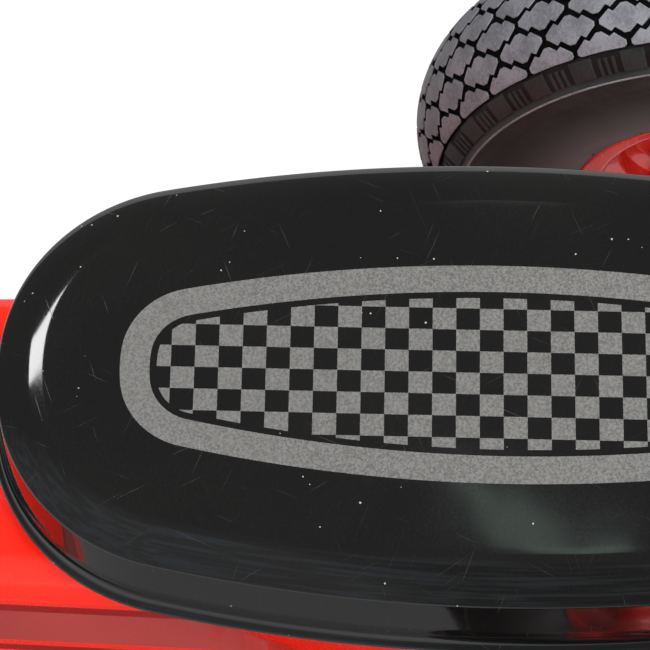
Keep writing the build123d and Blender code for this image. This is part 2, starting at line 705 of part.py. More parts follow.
def make_hull():
    """The nose hull: a deck and neck under the cover, and a stepped nose ahead of the wheels."""
    deck_bottom = DECK_TOP - DECK_THICKNESS
    deck = extrude(outline_face(deck_bottom, DECK_MARGIN), DECK_THICKNESS)
    neck_height = deck_bottom - NECK_BOTTOM
    neck = extrude(outline_face(NECK_BOTTOM, -NECK_INSET), neck_height)
    nose = nose_prism(0.0, 0.0) & nose_front(0.0, 0.0) & nose_cut(0.0)
    neck_room = extrude(outline_face(NECK_BOTTOM, -NECK_INSET - HULL_WALL), neck_height)
    nose_room = nose_prism(HULL_WALL, HULL_DROP) & nose_front(HULL_WALL, HULL_DROP) & nose_cut(HULL_WALL)
    return deck + neck + nose - neck_room - nose_room


def make_bracket(front_y):
    """A folded bracket from the beam's top to the deck, with both its feet turned to the rear."""
    top = DECK_TOP - DECK_THICKNESS
    end_y = front_y + BRACKET_FOOT
    outside = FilletPolyline(
        (0, end_y, BEAM_TOP),
        (0, front_y, BEAM_TOP),
        (0, front_y, top),
        (0, end_y, top),
        radius=BRACKET_BEND,
    )
    inside = FilletPolyline(
        (0, end_y, top - BRACKET_SHEET),
        (0, front_y + BRACKET_SHEET, top - BRACKET_SHEET),
        (0, front_y + BRACKET_SHEET, BEAM_TOP + BRACKET_SHEET),
        (0, end_y, BEAM_TOP + BRACKET_SHEET),
        radius=BRACKET_BEND - BRACKET_SHEET,
    )
    profile = make_face(
        outside.edges()
        + inside.edges()
        + [
            Line((0, end_y, top), (0, end_y, top - BRACKET_SHEET)),
            Line((0, end_y, BEAM_TOP + BRACKET_SHEET), (0, end_y, BEAM_TOP)),
        ]
    )
    return extrude(profile, BRACKET_WIDTH / 2, dir=(1, 0, 0), both=True)


def make_valve():
    """The left wheel's valve: a stem through the outer rim half and a foot inside the tyre."""
    stem = cylinder_x(VALVE_RADIUS, VALVE_START, VALVE_START + VALVE_LENGTH)
    stem += cylinder_x(VALVE_TIP_RADIUS, VALVE_START, VALVE_START + VALVE_LENGTH + VALVE_TIP_LENGTH)
    foot = cylinder_x(VALVE_FOOT_RADIUS, VALVE_START - VALVE_FOOT_THICKNESS, VALVE_START)
    return Pos(HALF_TRACK, AXLE_Y, 0) * valve_place() * (stem + foot)


os.makedirs("parts", exist_ok=True)

single_pieces = {
    "rear_flange": make_flange(),
    "main_beam": make_main_beam(),
    "beam_cap": make_beam_cap(),
    "axle_beam": make_axle_beam(),
    "bracket_front": make_bracket(NECK_FRONT_Y + FRONT_BRACKET_BEHIND_NECK),
    "bracket_rear": make_bracket(AXLE_Y + REAR_BRACKET_BEHIND_AXLE),
    "nose_hull": make_hull(),
    "nose_cover": make_cover(),
    "rod_tube": make_rod_tube(),
}
left_pieces = {
    "yoke": make_yoke(),
    "king_pin": make_king_pin(),
    "king_nut": make_king_nut(),
    "knuckle": make_knuckle(),
    "rod_pin": make_rod_pin(),
    "rod_nut": make_rod_nut(),
    "wheel_washer": make_wheel_washer(),
    "wheel_nut": make_wheel_nut(),
    "rod_end": make_rod_end(),
    "tyre": make_tyre(),
    "rim_outer": make_rim_half(1),
    "rim_inner": make_rim_half(-1),
    "hub": make_hub(),
    "bearing_outer": make_bearing(1),
    "bearing_inner": make_bearing(-1),
    "valve": make_valve(),
}

for name, piece in single_pieces.items():
    export_step(piece, f"parts/{name}.step")
for name, piece in left_pieces.items():
    export_step(piece, f"parts/{name}_left.step")
    export_step(mirror(piece, about=Plane.YZ), f"parts/{name}_right.step")
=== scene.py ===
"""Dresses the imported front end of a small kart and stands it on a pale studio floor."""

import logging
import math
from collections.abc import Callable, Mapping, Sequence
from dataclasses import dataclass, field
from enum import Enum, IntEnum

import bmesh
import bpy
import numpy as np
from mathutils import Matrix, Quaternion, Vector


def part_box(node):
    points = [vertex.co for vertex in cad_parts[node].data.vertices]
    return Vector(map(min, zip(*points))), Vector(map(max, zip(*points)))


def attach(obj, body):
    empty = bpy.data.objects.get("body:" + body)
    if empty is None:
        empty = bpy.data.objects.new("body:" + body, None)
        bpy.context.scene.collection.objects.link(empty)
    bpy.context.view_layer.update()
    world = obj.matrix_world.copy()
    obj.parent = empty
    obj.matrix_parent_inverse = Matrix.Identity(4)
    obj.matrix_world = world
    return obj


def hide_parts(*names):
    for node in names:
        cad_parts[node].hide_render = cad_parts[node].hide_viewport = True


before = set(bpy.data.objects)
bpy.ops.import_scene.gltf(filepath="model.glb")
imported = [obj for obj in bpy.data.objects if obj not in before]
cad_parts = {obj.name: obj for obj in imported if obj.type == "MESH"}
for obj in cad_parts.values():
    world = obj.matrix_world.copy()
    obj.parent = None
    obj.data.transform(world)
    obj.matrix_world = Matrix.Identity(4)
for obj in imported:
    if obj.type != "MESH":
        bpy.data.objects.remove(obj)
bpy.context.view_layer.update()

LOG = logging.getLogger("kart_front_end")
MM = 0.001
FULL_TURN = 2 * math.pi

# The kart's own sizes in metres, as the solids have them. Heights are over the hubs.
AXLE_Y = -0.260
HALF_TRACK = 0.205
GROUND = -0.130
OUTLINE_Y = AXLE_Y - 0.1015
DECK_TOP = 0.135

Point = tuple[float, float, float]
RingSize = tuple[float, float, float]
Colour = tuple[float, float, float, float]
Socket = bpy.types.NodeSocket
Sockets = Mapping[str, Socket]

WHITE: Colour = (1.0, 1.0, 1.0, 1.0)


class Slot(Enum):
    """The record's material slots."""

    COVER = "cover_black"
    HULL = "hull_red"
    MOULDING = "black_moulding"
    FRAME = "frame_black"
    ZINC = "zinc_steel"
    TYRE = "tyre"
    RIM = "rim_red"
    BEARING = "bearing_steel"
    VALVE = "valve_rubber"


class Side(Enum):
    """The kart's two sides, with the sign of their X."""

    LEFT = 1
    RIGHT = -1

    @property
    def word(self) -> str:
        """The side's name as the CAD nodes have it."""
        return self.name.lower()

class HullPart(IntEnum):
    """The order of the hull's finishes."""

    RED = 0
    SATIN = 1
    SEAM = 2


class CarcassPart(IntEnum):
    """The order of the tyre carcass's finishes."""

    WALL = 0
    SHADED_GROOVE = 1
    RIDGE = 2
    SHOULDER = 3


class TreadPart(IntEnum):
    """The order of the tread's finishes."""

    BLOCK = 0
    PANEL = 1
    SIDE = 2


def linear(red: int, green: int, blue: int) -> Colour:
    """Turns a display colour into the linear one that the shaders take.

    Args:
        red: Red from 0 to 255.
        green: Green from 0 to 255.
        blue: Blue from 0 to 255.

    Returns:
        The linear colour with full alpha.
    """
    parts = []
    for part in (red, green, blue):
        share = part / 255
        parts.append(share / 12.92 if share <= 0.04045 else ((share + 0.055) / 1.055) ** 2.4)
    return (parts[0], parts[1], parts[2], 1.0)


class Net:
    """A node tree with short calls for adding, setting and joining its nodes."""

    def __init__(self, tree: bpy.types.NodeTree) -> None:
        """Keeps the tree.

        Args:
            tree: The tree to build in.
        """
        self.tree = tree

    def add(
        self, kind: str, inputs: dict[str | int, object] | None = None, **settings: object
    ) -> bpy.types.Node:
        """Adds a node.

        Args:
            kind: The node's type name.
            inputs: Values or outputs for its input sockets, by name or index.
            **settings: The node's own properties.

        Returns:
            The new node.
        """
        node = self.tree.nodes.new(kind)
        for name, value in settings.items():
            setattr(node, name, value)
        for socket, value in (inputs or {}).items():
            self.feed(node, socket, value)
        return node

    def feed(self, node: bpy.types.Node, socket: str | int, value: object) -> None:
        """Joins an input to another node's output, or sets it.

        Args:
            node: The node that is fed.
            socket: The input's name or index.
            value: An output socket, a number or a colour.
        """
        target = node.inputs[socket]
        if isinstance(value, bpy.types.NodeSocket):
            self.tree.links.new(value, target)
        else:
            target.default_value = value

    def maths(self, operation: str, first: object, second: object = 0.0, clamp: bool = False) -> Socket:
        """Adds a Math node.

        Args:
            operation: The node's operation.
            first: Its first input.
            second: Its second input.
            clamp: Whether the result is held between 0 and 1.

        Returns:
            The node's output.
        """
        node = self.add("ShaderNodeMath", {0: first, 1: second}, operation=operation, use_clamp=clamp)
        return node.outputs[0]

    def span(self, value: object, low: float, high: float, start: float, end: float) -> Socket:
        """Maps a value from one range to another and holds it there.

        Args:
            value: The value to map.
            low: Where the first range starts.
            high: Where the first range ends.
            start: What low becomes.
            end: What high becomes.

        Returns:
            The mapped value.
        """
        node = self.add(
            "ShaderNodeMapRange",
            {"Value": value, "From Min": low, "From Max": high, "To Min": start, "To Max": end},
            interpolation_type="SMOOTHSTEP",
        )
        return node.outputs["Result"]

    def noise(self, vector: object, scale: object, detail: float = 2.0, rough: float = 0.5) -> Socket:
        """Adds a noise texture.

        Args:
            vector: The coordinates it reads.
            scale: Features per metre.
            detail: How many octaves it has.
            rough: How strong the finer octaves are.

        Returns:
            The noise, from 0 to 1.
        """
        inputs = {"Vector": vector, "Scale": scale, "Detail": detail, "Roughness": rough}
        return self.add("ShaderNodeTexNoise", inputs).outputs[0]

    def bent(self, vector: Socket, scale: float, reach: float, detail: float = 2.0) -> Socket:
        """Bends coordinates by a slow noise.

        Args:
            vector: The coordinates.
            scale: The noise's features per metre.
            reach: How far it moves them, in metres.
            detail: How many octaves the noise has.

        Returns:
            The bent coordinates.
        """
        noise = self.add("ShaderNodeTexNoise", {"Vector": vector, "Scale": scale, "Detail": detail})
        inputs = {0: noise.outputs["Color"], "Scale": reach}
        shift = self.add("ShaderNodeVectorMath", inputs, operation="SCALE")
        return self.add("ShaderNodeVectorMath", {0: vector, 1: shift.outputs[0]}, operation="ADD").outputs[0]

    def turned(self, vector: Socket, turn: float, size: Point, middle: Point = (0.0, 0.0, 0.0)) -> Socket:
        """Measures coordinates in a frame of their own.

        Args:
            vector: The coordinates.
            turn: How far the frame is turned about the vertical, in radians.
            size: The frame's unit along each axis, in metres.
            middle: The frame's origin.

        Returns:
            The coordinates in that frame.
        """
        inputs = {"Vector": vector, "Location": middle, "Rotation": (0.0, 0.0, turn), "Scale": size}
        return self.add("ShaderNodeMapping", inputs, vector_type="TEXTURE").outputs[0]

    def bump(self, height: Socket, depth: float) -> bpy.types.Node:
        """Adds a Bump node.

        Args:
            height: The relief, from 0 to 1.
            depth: How deep it is, in metres.

        Returns:
            The node.
        """
        return self.add("ShaderNodeBump", {"Height": self.maths("MULTIPLY", height, depth), "Distance": 1.0})

    def blend(self, share: object, first: object, second: object) -> Socket:
        """Mixes two colours.

        Args:
            share: How much of the second shows.
            first: The first colour.
            second: The second colour.

        Returns:
            The mixed colour.
        """
        node = self.add("ShaderNodeMix", data_type="RGBA")
        for socket, value in ((0, share), (6, first), (7, second)):
            self.feed(node, socket, value)
        return node.outputs[2]


def emptied(block: bpy.types.Material | bpy.types.World) -> Net:
    """Clears a material's or a world's nodes.

    Args:
        block: The material or world.

    Returns:
        Its node tree, with nothing in it.
    """
    block.use_nodes = True
    block.node_tree.nodes.clear()
    return Net(block.node_tree)


@dataclass(frozen=True)
class Effect:
    """A shader node group that materials share. It reads a Vector and numbers of its own."""

    name: str
    numbers: dict[str, float]
    outputs: tuple[str, ...]
    fill: Callable[[Net, Sockets], tuple[Socket, ...]]

    def tree(self) -> bpy.types.NodeTree:
        """Builds the group the first time, and hands back the same one after that.

        Returns:
            The group.
        """
        found = bpy.data.node_groups.get(self.name)
        if found is not None:
            return found
        tree = bpy.data.node_groups.new(self.name, "ShaderNodeTree")
        tree.interface.new_socket("Vector", in_out="INPUT", socket_type="NodeSocketVector")
        for label, default in self.numbers.items():
            socket = tree.interface.new_socket(label, in_out="INPUT", socket_type="NodeSocketFloat")
            socket.default_value = default
        for label in self.outputs:
            tree.interface.new_socket(label, in_out="OUTPUT", socket_type="NodeSocketFloat")
        net = Net(tree)
        given, result = net.add("NodeGroupInput"), net.add("NodeGroupOutput")
        for label, value in zip(self.outputs, self.fill(net, given.outputs)):
            net.feed(result, label, value)
        return tree

    def place(self, net: Net, vector: Socket, numbers: dict[str, float] | None = None) -> Sockets:
        """Places the group in a material.

        Args:
            net: The material's nodes.
            vector: The coordinates it reads.
            numbers: Its own values, by input name.

        Returns:
            Its outputs, by name.
        """
        inputs = {"Vector": vector, **(numbers or {})}
        return net.add("ShaderNodeGroup", inputs, node_tree=self.tree()).outputs


def specks(net: Net, given: Sockets) -> tuple[Socket, ...]:
    """Marks small scattered specks, which gather in patches.

    Args:
        net: The group's nodes.
        given: The group's inputs.

    Returns:
        The mask.
    """
    smallest, spread, patch_scale = 0.03, 0.11, 22.0
    cells = net.add("ShaderNodeTexVoronoi", {"Vector": given["Vector"], "Scale": given["Scale"]})
    parts = net.add("ShaderNodeSeparateColor", {"Color": cells.outputs["Color"]})
    patch = net.span(net.noise(given["Vector"], patch_scale), 0.45, 0.7, 0.25, 2.0)
    limit = net.maths("SUBTRACT", 1.0, net.maths("MULTIPLY", given["Share"], patch))
    kept = net.maths("GREATER_THAN", parts.outputs[0], limit)
    radius = net.maths("ADD", net.maths("MULTIPLY", parts.outputs[1], spread), smallest)
    disc = net.maths("LESS_THAN", cells.outputs["Distance"], radius)
    return (net.maths("MULTIPLY", kept, disc),)


def scratches(net: Net, given: Sockets) -> tuple[Socket, ...]:
    """Marks thin scratches in several directions, as streaks of stretched noise.

    Args:
        net: The group's nodes.
        given: The group's inputs.

    Returns:
        The mask.
    """
    along, through, sharpness = 34, 60, 14.0
    bent = net.bent(given["Vector"], 9.0, 0.012)
    total = None
    for turn, across in ((0.35, 2100.0), (1.15, 1700.0), (2.1, 2600.0), (2.75, 1900.0)):
        streak = net.noise(net.turned(bent, turn, (1 / along, 1 / across, 1 / through)), 1.0, 1.0)
        limit = net.maths("SUBTRACT", 1.0, given["Share"])
        line = net.maths("MULTIPLY", net.maths("SUBTRACT", streak, limit), sharpness, clamp=True)
        total = line if total is None else net.maths("MAXIMUM", total, line)
    return (total,)


def rubbed_edges(net: Net, given: Sockets) -> tuple[Socket, ...]:
    """Marks rubbed convex edges, broken up by noise.

    Args:
        net: The group's nodes.
        given: The group's inputs.

    Returns:
        The mask.
    """
    edge = net.span(net.add("ShaderNodeNewGeometry").outputs["Pointiness"], 0.52, 0.60, 0.0, 1.0)
    patch = net.span(net.noise(given["Vector"], given["Scale"], 4.0), 0.42, 0.66, 0.0, 1.0)
    return (net.maths("MULTIPLY", edge, patch),)


def grain(net: Net, given: Sockets) -> tuple[Socket, ...]:
    """Makes fine grain and slow waves.

    Args:
        net: The group's nodes.
        given: The group's inputs.

    Returns:
        The grain and the waves.
    """
    fine = net.noise(given["Vector"], given["Scale"], 3.0, 0.6)
    slow = net.noise(given["Vector"], given["Slow Scale"], 2.0, 0.45)
    return fine, slow


def painted_rim_light(net: Net, given: Sockets) -> tuple[Socket, ...]:
    """Marks the tyre's wall more and more towards the rim, where it is painted lighter as painted light.

    Args:
        net: The group's nodes.
        given: The group's inputs.

    Returns:
        The mask.
    """
    outer, inner = 0.104, 0.066
    parts = net.add("ShaderNodeSeparateXYZ", {"Vector": given["Vector"]})
    ahead = net.maths("SUBTRACT", parts.outputs["Y"], AXLE_Y)
    up = parts.outputs["Z"]
    square = net.maths("ADD", net.maths("MULTIPLY", ahead, ahead), net.maths("POWER", up, 2.0))
    return (net.span(net.maths("SQRT", square), outer, inner, 0.0, 1.0),)


DUST_SPECKS = Effect("dust_specks", {"Scale": 200.0, "Share": 0.1}, ("Mask",), specks)
FINE_SCRATCHES = Effect("fine_scratches", {"Share": 0.3}, ("Mask",), scratches)
WORN_EDGES = Effect("worn_edges", {"Scale": 120.0}, ("Mask",), rubbed_edges)
SURFACE_GRAIN = Effect("surface_grain", {"Scale": 900.0, "Slow Scale": 15.0}, ("Fine", "Slow"), grain)
RIM_PAINTED_LIGHT = Effect("rim_painted_light", {}, ("Mask",), painted_rim_light)

# How much rougher wear and scratches make a finish, and how rough a speck is.
WORN_ROUGHNESS = 0.15
SCRATCH_ROUGHNESS = 0.3
SPECK_ROUGHNESS = 0.7


@dataclass(frozen=True)
class Finish:
    """One surface finish. Scales are features per metre and heights are metres."""

    name: str
    slot: Slot
    colour: Colour
    other_colour: Colour
    roughness: float
    roughness_spread: float = 0.08
    metallic: float = 0.0
    coat: float = 0.0
    coat_roughness: float = 0.05
    specular: float = 0.5
    grain_scale: float = 900.0
    grain_height: float = 0.00001
    slow_scale: float = 15.0
    slow_height: float = 0.0
    speck_share: float = 0.0
    speck_scale: float = 220.0
    speck_colour: Colour = (0.25, 0.24, 0.22, 1.0)
    scratch_share: float = 0.0
    scratch_colour: Colour = (0.1, 0.1, 0.1, 1.0)
    wear: float = 0.0
    wear_colour: Colour = (0.3, 0.3, 0.3, 1.0)
    painted_light_colour: Colour | None = None

    def material(self) -> bpy.types.Material:
        """Builds the material the first time, and hands back the same one after that.

        Returns:
            The finish's material.
        """
        found = bpy.data.materials.get(self.name)
        if found is not None:
            return found
        material = bpy.data.materials.new(self.name)
        net = emptied(material)
        place = net.add("ShaderNodeTexCoord").outputs["Object"]
        relief = SURFACE_GRAIN.place(net, place, {"Scale": self.grain_scale, "Slow Scale": self.slow_scale})
        mixed = net.maths("MULTIPLY", net.maths("ADD", relief["Fine"], relief["Slow"]), 0.5)
        colour = net.blend(net.span(mixed, 0.38, 0.62, 0.0, 1.0), self.colour, self.other_colour)
        smooth, coarse = self.roughness - self.roughness_spread, self.roughness + self.roughness_spread
        rough = net.span(mixed, 0.3, 0.7, smooth, coarse)
        # Towards the rim the tyre's wall is painted lighter: painted light.
        if self.painted_light_colour is not None:
            colour = net.blend(RIM_PAINTED_LIGHT.place(net, place)["Mask"], colour, self.painted_light_colour)
        if self.wear:
            mask = net.maths("MULTIPLY", WORN_EDGES.place(net, place)["Mask"], self.wear)
            colour = net.blend(mask, colour, self.wear_colour)
            rough = net.maths("ADD", rough, net.maths("MULTIPLY", mask, WORN_ROUGHNESS))
        if self.speck_share:
            numbers = {"Scale": self.speck_scale, "Share": self.speck_share}
            mask = DUST_SPECKS.place(net, place, numbers)["Mask"]
            colour = net.blend(mask, colour, self.speck_colour)
            rough = net.maths("MAXIMUM", rough, net.maths("MULTIPLY", mask, SPECK_ROUGHNESS))
        if self.scratch_share:
            mask = FINE_SCRATCHES.place(net, place, {"Share": self.scratch_share})["Mask"]
            colour = net.blend(mask, colour, self.scratch_colour)
            rough = net.maths("ADD", rough, net.maths("MULTIPLY", mask, SCRATCH_ROUGHNESS), clamp=True)
        bump = net.bump(relief["Fine"], self.grain_height)
        if self.slow_height:
            net.feed(bump, "Normal", net.bump(relief["Slow"], self.slow_height).outputs["Normal"])
        shader = net.add(
            "ShaderNodeBsdfPrincipled",
            {
                "Base Color": colour,
                "Roughness": rough,
                "Metallic": self.metallic,
                "Coat Weight": self.coat,
                "Coat Roughness": self.coat_roughness,
                "Specular IOR Level": self.specular,
                "Normal": bump.outputs["Normal"],
            },
        )
        net.add("ShaderNodeOutputMaterial", {"Surface": shader.outputs["BSDF"]})
        return material


COVER_BLACK = Finish(
    "gloss_black_cover", Slot.COVER, linear(9, 9, 9), linear(14, 14, 13), 0.06, 0.02,
    slow_scale=14.0, slow_height=0.00025, grain_height=0.0, speck_share=0.09, speck_scale=300.0,
    scratch_share=0.258, scratch_colour=linear(44, 44, 42), speck_colour=linear(150, 147, 140),
)
PRINT_GREY = Finish(
    "grey_print", Slot.COVER, linear(74, 73, 71), linear(102, 101, 99), 0.42, 0.08,
    grain_scale=2400.0, grain_height=0.00003, slow_scale=1100.0, speck_share=0.08, speck_scale=500.0,
    speck_colour=linear(60, 59, 58),
)
HULL_RED = Finish(
    "red_hull", Slot.HULL, linear(252, 42, 20), linear(247, 37, 17), 0.28, 0.05, specular=0.3,
    coat=0.08, coat_roughness=0.08, slow_scale=11.0, slow_height=0.0002, grain_height=0.0,
    speck_share=0.01, speck_scale=150.0, speck_colour=linear(200, 90, 80),
)
# The same red plastic on one step face, rougher, and painted paler and pinker: painted light for the
# reflection that this face catches.
HULL_SATIN_PAINTED_LIGHT = Finish(
    "red_satin_band_painted_light", Slot.HULL, linear(166, 46, 40), linear(156, 42, 37), 0.42, 0.05,
    grain_height=0.000008, slow_scale=20.0,
)
# Darker red on the steps' small faces: painted shade, for the dark lines where the steps turn away from the
# light.
HULL_SEAM_PAINTED_SHADE = Finish(
    "red_hull_seam_painted_shade", Slot.HULL, linear(142, 16, 11), linear(128, 13, 9), 0.35, 0.05, grain_height=0.000008,
)
MOULDING = Finish(
    "black_moulding", Slot.MOULDING, linear(26, 26, 27), linear(34, 34, 35), 0.5, 0.08,
    grain_scale=1400.0, grain_height=0.00002, scratch_share=0.24, scratch_colour=linear(60, 60, 60),
)
FRAME_BLACK = Finish(
    "black_powder_coat", Slot.FRAME, linear(24, 24, 25), linear(33, 33, 34), 0.38, 0.07,
    grain_scale=1100.0, grain_height=0.00004, slow_scale=45.0, speck_share=0.04, speck_scale=260.0,
    speck_colour=linear(88, 86, 82), scratch_share=0.25, scratch_colour=linear(70, 70, 68),
)
WELD_BEAD = Finish(
    "painted_weld", Slot.FRAME, linear(27, 27, 28), linear(38, 38, 39), 0.4, 0.1,
    grain_scale=900.0, grain_height=0.0001, slow_scale=200.0,
)
ZINC = Finish(
    "zinc_steel", Slot.ZINC, linear(196, 196, 192), linear(176, 175, 168), 0.28, 0.08, metallic=1.0,
    grain_scale=700.0, grain_height=0.000006, slow_scale=160.0, scratch_share=0.25,
    scratch_colour=linear(150, 150, 146),
)
BEARING = Finish(
    "bearing_steel", Slot.BEARING, linear(150, 152, 155), linear(170, 172, 176), 0.2, 0.05, metallic=1.0,
    grain_scale=600.0, grain_height=0.000003,
)
VALVE = Finish(
    "valve_rubber", Slot.VALVE, linear(30, 30, 30), linear(40, 40, 40), 0.55, 0.08, grain_height=0.00002,
)
RIM_RED = Finish(
    "red_rim_paint", Slot.RIM, linear(252, 56, 40), linear(246, 48, 34), 0.24, 0.04,
    coat=0.6, coat_roughness=0.05, slow_scale=60.0, slow_height=0.00008, grain_height=0.0,
    scratch_share=0.25, scratch_colour=linear(240, 120, 105),
)
# Light grey tread: the rubber's own colour lifted as painted sheen, for the light that the block tops catch
# from above.
TREAD_RUBBER_AND_SHEEN = Finish(
    "tread_rubber_and_sheen", Slot.TYRE, linear(104, 106, 111), linear(131, 133, 139), 0.6, 0.1, specular=0.15,
    grain_scale=800.0, grain_height=0.00006, slow_scale=90.0, slow_height=0.0002,
    wear=0.5, wear_colour=linear(135, 137, 142), speck_share=0.06, speck_scale=300.0,
)
# Its colour turns lighter towards the rim as painted light.
WALL_RUBBER = Finish(
    "sidewall_rubber", Slot.TYRE, linear(35, 37, 37), linear(45, 48, 48), 0.55, 0.08, specular=0.3,
    grain_scale=700.0, grain_height=0.00003, slow_scale=60.0, speck_share=0.02, speck_scale=300.0,
    painted_light_colour=linear(112, 115, 114),
)
# Near-black in the grooves, on the blocks' sides and on the nubs: the rubber's own black, darkened further as
# painted shade.
GROOVE_PAINTED_SHADE = Finish(
    "groove_rubber_painted_shade", Slot.TYRE, linear(9, 9, 10), linear(15, 15, 16), 0.8, 0.08, specular=0.15,
    grain_scale=700.0, grain_height=0.00003, slow_scale=60.0,
)
SHOULDER_RUBBER = Finish(
    "shoulder_rubber", Slot.TYRE, linear(23, 20, 20), linear(30, 26, 26), 0.6, 0.08, specular=0.25,
    grain_scale=700.0, grain_height=0.00003, slow_scale=60.0,
)
# Light grey on the sidewall's thin ridge: a painted highlight along it.
RIDGE_PAINTED_HIGHLIGHT = Finish(
    "ridge_rubber_painted_highlight", Slot.TYRE, linear(134, 140, 140), linear(104, 109, 109), 0.4, 0.08,
    grain_scale=700.0, grain_height=0.00002, slow_scale=60.0,
)

# The CAD nodes that keep their shape, without the side in their names, and what each takes.
CAD_FINISHES: dict[str, Finish] = {
    **dict.fromkeys(("rear_flange", "main_beam", "axle_beam", "yoke", "knuckle"), FRAME_BLACK),
    **dict.fromkeys(("bracket_front", "bracket_rear", "king_pin", "king_nut"), ZINC),
    **dict.fromkeys(("rod_tube", "rod_end", "rod_pin", "rod_nut"), ZINC),
    **dict.fromkeys(("hub", "wheel_washer", "wheel_nut"), ZINC),
    **dict.fromkeys(("rim_outer", "rim_inner"), RIM_RED),
    **dict.fromkeys(("bearing_outer", "bearing_inner"), BEARING),
    "beam_cap": MOULDING,
    "valve": VALVE,
}


def placed(name: str, data: bpy.types.ID) -> bpy.types.Object:
    """Adds an object to the scene.

    Args:
        name: Its name.
        data: Its mesh, light or camera.

    Returns:
        The object.
    """
    thing = bpy.data.objects.new(name, data)
    bpy.context.scene.collection.objects.link(thing)
    return thing


@dataclass
class MeshParts:
    """Vertices and faces that are gathered before they become one piece."""

    vertices: list[np.ndarray] = field(default_factory=list)
    faces: list[tuple[int, ...]] = field(default_factory=list)
    slots: list[int] = field(default_factory=list)

    def add(
        self, vertices: np.ndarray, faces: Sequence[tuple[int, ...]], slot: int | Sequence[int] = 0
    ) -> None:
        """Adds a patch.

        Args:
            vertices: Its corners, one row each.
            faces: Its faces, by corner number within the patch.
            slot: Which of the piece's materials it takes, or one for each face.
        """
        start = sum(len(patch) for patch in self.vertices)
        self.vertices.append(np.asarray(vertices, float))
        self.faces.extend(tuple(start + index for index in face) for face in faces)
        self.slots.extend(map(int, [slot] * len(faces) if isinstance(slot, int) else slot))

    def add_rings(self, rings: Sequence[np.ndarray], slot: int | Sequence[int] = 0) -> None:
        """Adds a patch of closed rings, each joined to the next.

        Args:
            rings: The rings, with the same number of points each.
            slot: Which of the piece's materials it takes, or one for each face.
        """
        faces = grid_faces(len(rings), len(rings[0]), close_columns=True)
        self.add(np.concatenate(rings), faces, slot)

    def piece(
        self,
        name: str,
        finishes: Sequence[Finish],
        body: str,
        replaces: Sequence[str] = (),
        sharp: float = 40.0,
    ) -> None:
        """Makes the gathered mesh a piece of the object that rides on a body.

        Args:
            name: The piece's name.
            finishes: Its finishes, in the order of the patches' slots.
            body: The CAD body that it rides on.
            replaces: The CAD nodes that it stands for.
            sharp: Edges sharper than this many degrees are shaded sharp.
        """
        mesh = bpy.data.meshes.new(name)
        mesh.from_pydata(np.concatenate(self.vertices).tolist(), [], self.faces)
        for finish in finishes:
            mesh.materials.append(finish.material())
        mesh.polygons.foreach_set("material_index", self.slots)
        clean = bmesh.new()
        clean.from_mesh(mesh)
        bmesh.ops.remove_doubles(clean, verts=clean.verts, dist=1e-6)
        bmesh.ops.recalc_face_normals(clean, faces=clean.faces)
        clean.to_mesh(mesh)
        clean.free()
        mesh.shade_smooth()
        mesh.set_sharp_from_angle(angle=math.radians(sharp))
        thing = placed(name, mesh)
        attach(thing, body)
        if replaces:
            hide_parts(*replaces)
        LOG.info("%s: %d faces on %s", name, len(mesh.polygons), body)


def grid_faces(rows: int, columns: int, close_columns: bool = False) -> list[tuple[int, ...]]:
    """Joins a grid of points into four-sided faces.

    Args:
        rows: How many rows of points.
        columns: How many points in a row.
        close_columns: Whether each row's end joins its start.

    Returns:
        The faces.
    """
    faces = []
    for start in range(0, (rows - 1) * columns, columns):
        for column in range(columns if close_columns else columns - 1):
            here, after = start + column, start + (column + 1) % columns
            faces.append((here, after, after + columns, here + columns))
    return faces


def arc(start: float, end: float, count: int) -> list[tuple[float, float]]:
    """Divides an arc of a circle with a radius of 1.

    Args:
        start: The first angle in degrees.
        end: The last angle in degrees.
        count: How many points it has.

    Returns:
        Each point's cosine and sine.
    """
    return [(math.cos(angle), math.sin(angle)) for angle in map(math.radians, np.linspace(start, end, count))]


def rounded(points: Sequence[tuple[float, float]], radius: Sequence[float] | float, steps: int) -> np.ndarray:
    """Rounds the inner corners of a run of straight lines.

    Args:
        points: The corners, in order.
        radius: The radius at every inner corner, or one for each.
        steps: How many points each rounding has.

    Returns:
        The points of the rounded run.
    """
    corners = np.asarray(points, float)
    radii = [radius] * (len(corners) - 2) if isinstance(radius, (int, float)) else list(radius)
    run = [corners[0]]
    for index in range(1, len(corners) - 1):
        before, here, after = corners[index - 1], corners[index], corners[index + 1]
        back = (before - here) / np.linalg.norm(before - here)
        on = (after - here) / np.linalg.norm(after - here)
        half = math.acos(float(np.clip(back @ on, -1, 1))) / 2
        room = 0.49 * min(np.linalg.norm(before - here), np.linalg.norm(after - here))
        reach = min(radii[index - 1] / max(math.tan(half), 1e-6), room)
        start, end = here + back * reach, here + on * reach
        for step in range(steps + 1):
            share = step / steps
            run.append((1 - share) ** 2 * start + 2 * share * (1 - share) * here + share**2 * end)
    run.append(corners[-1])
    return np.array(run)


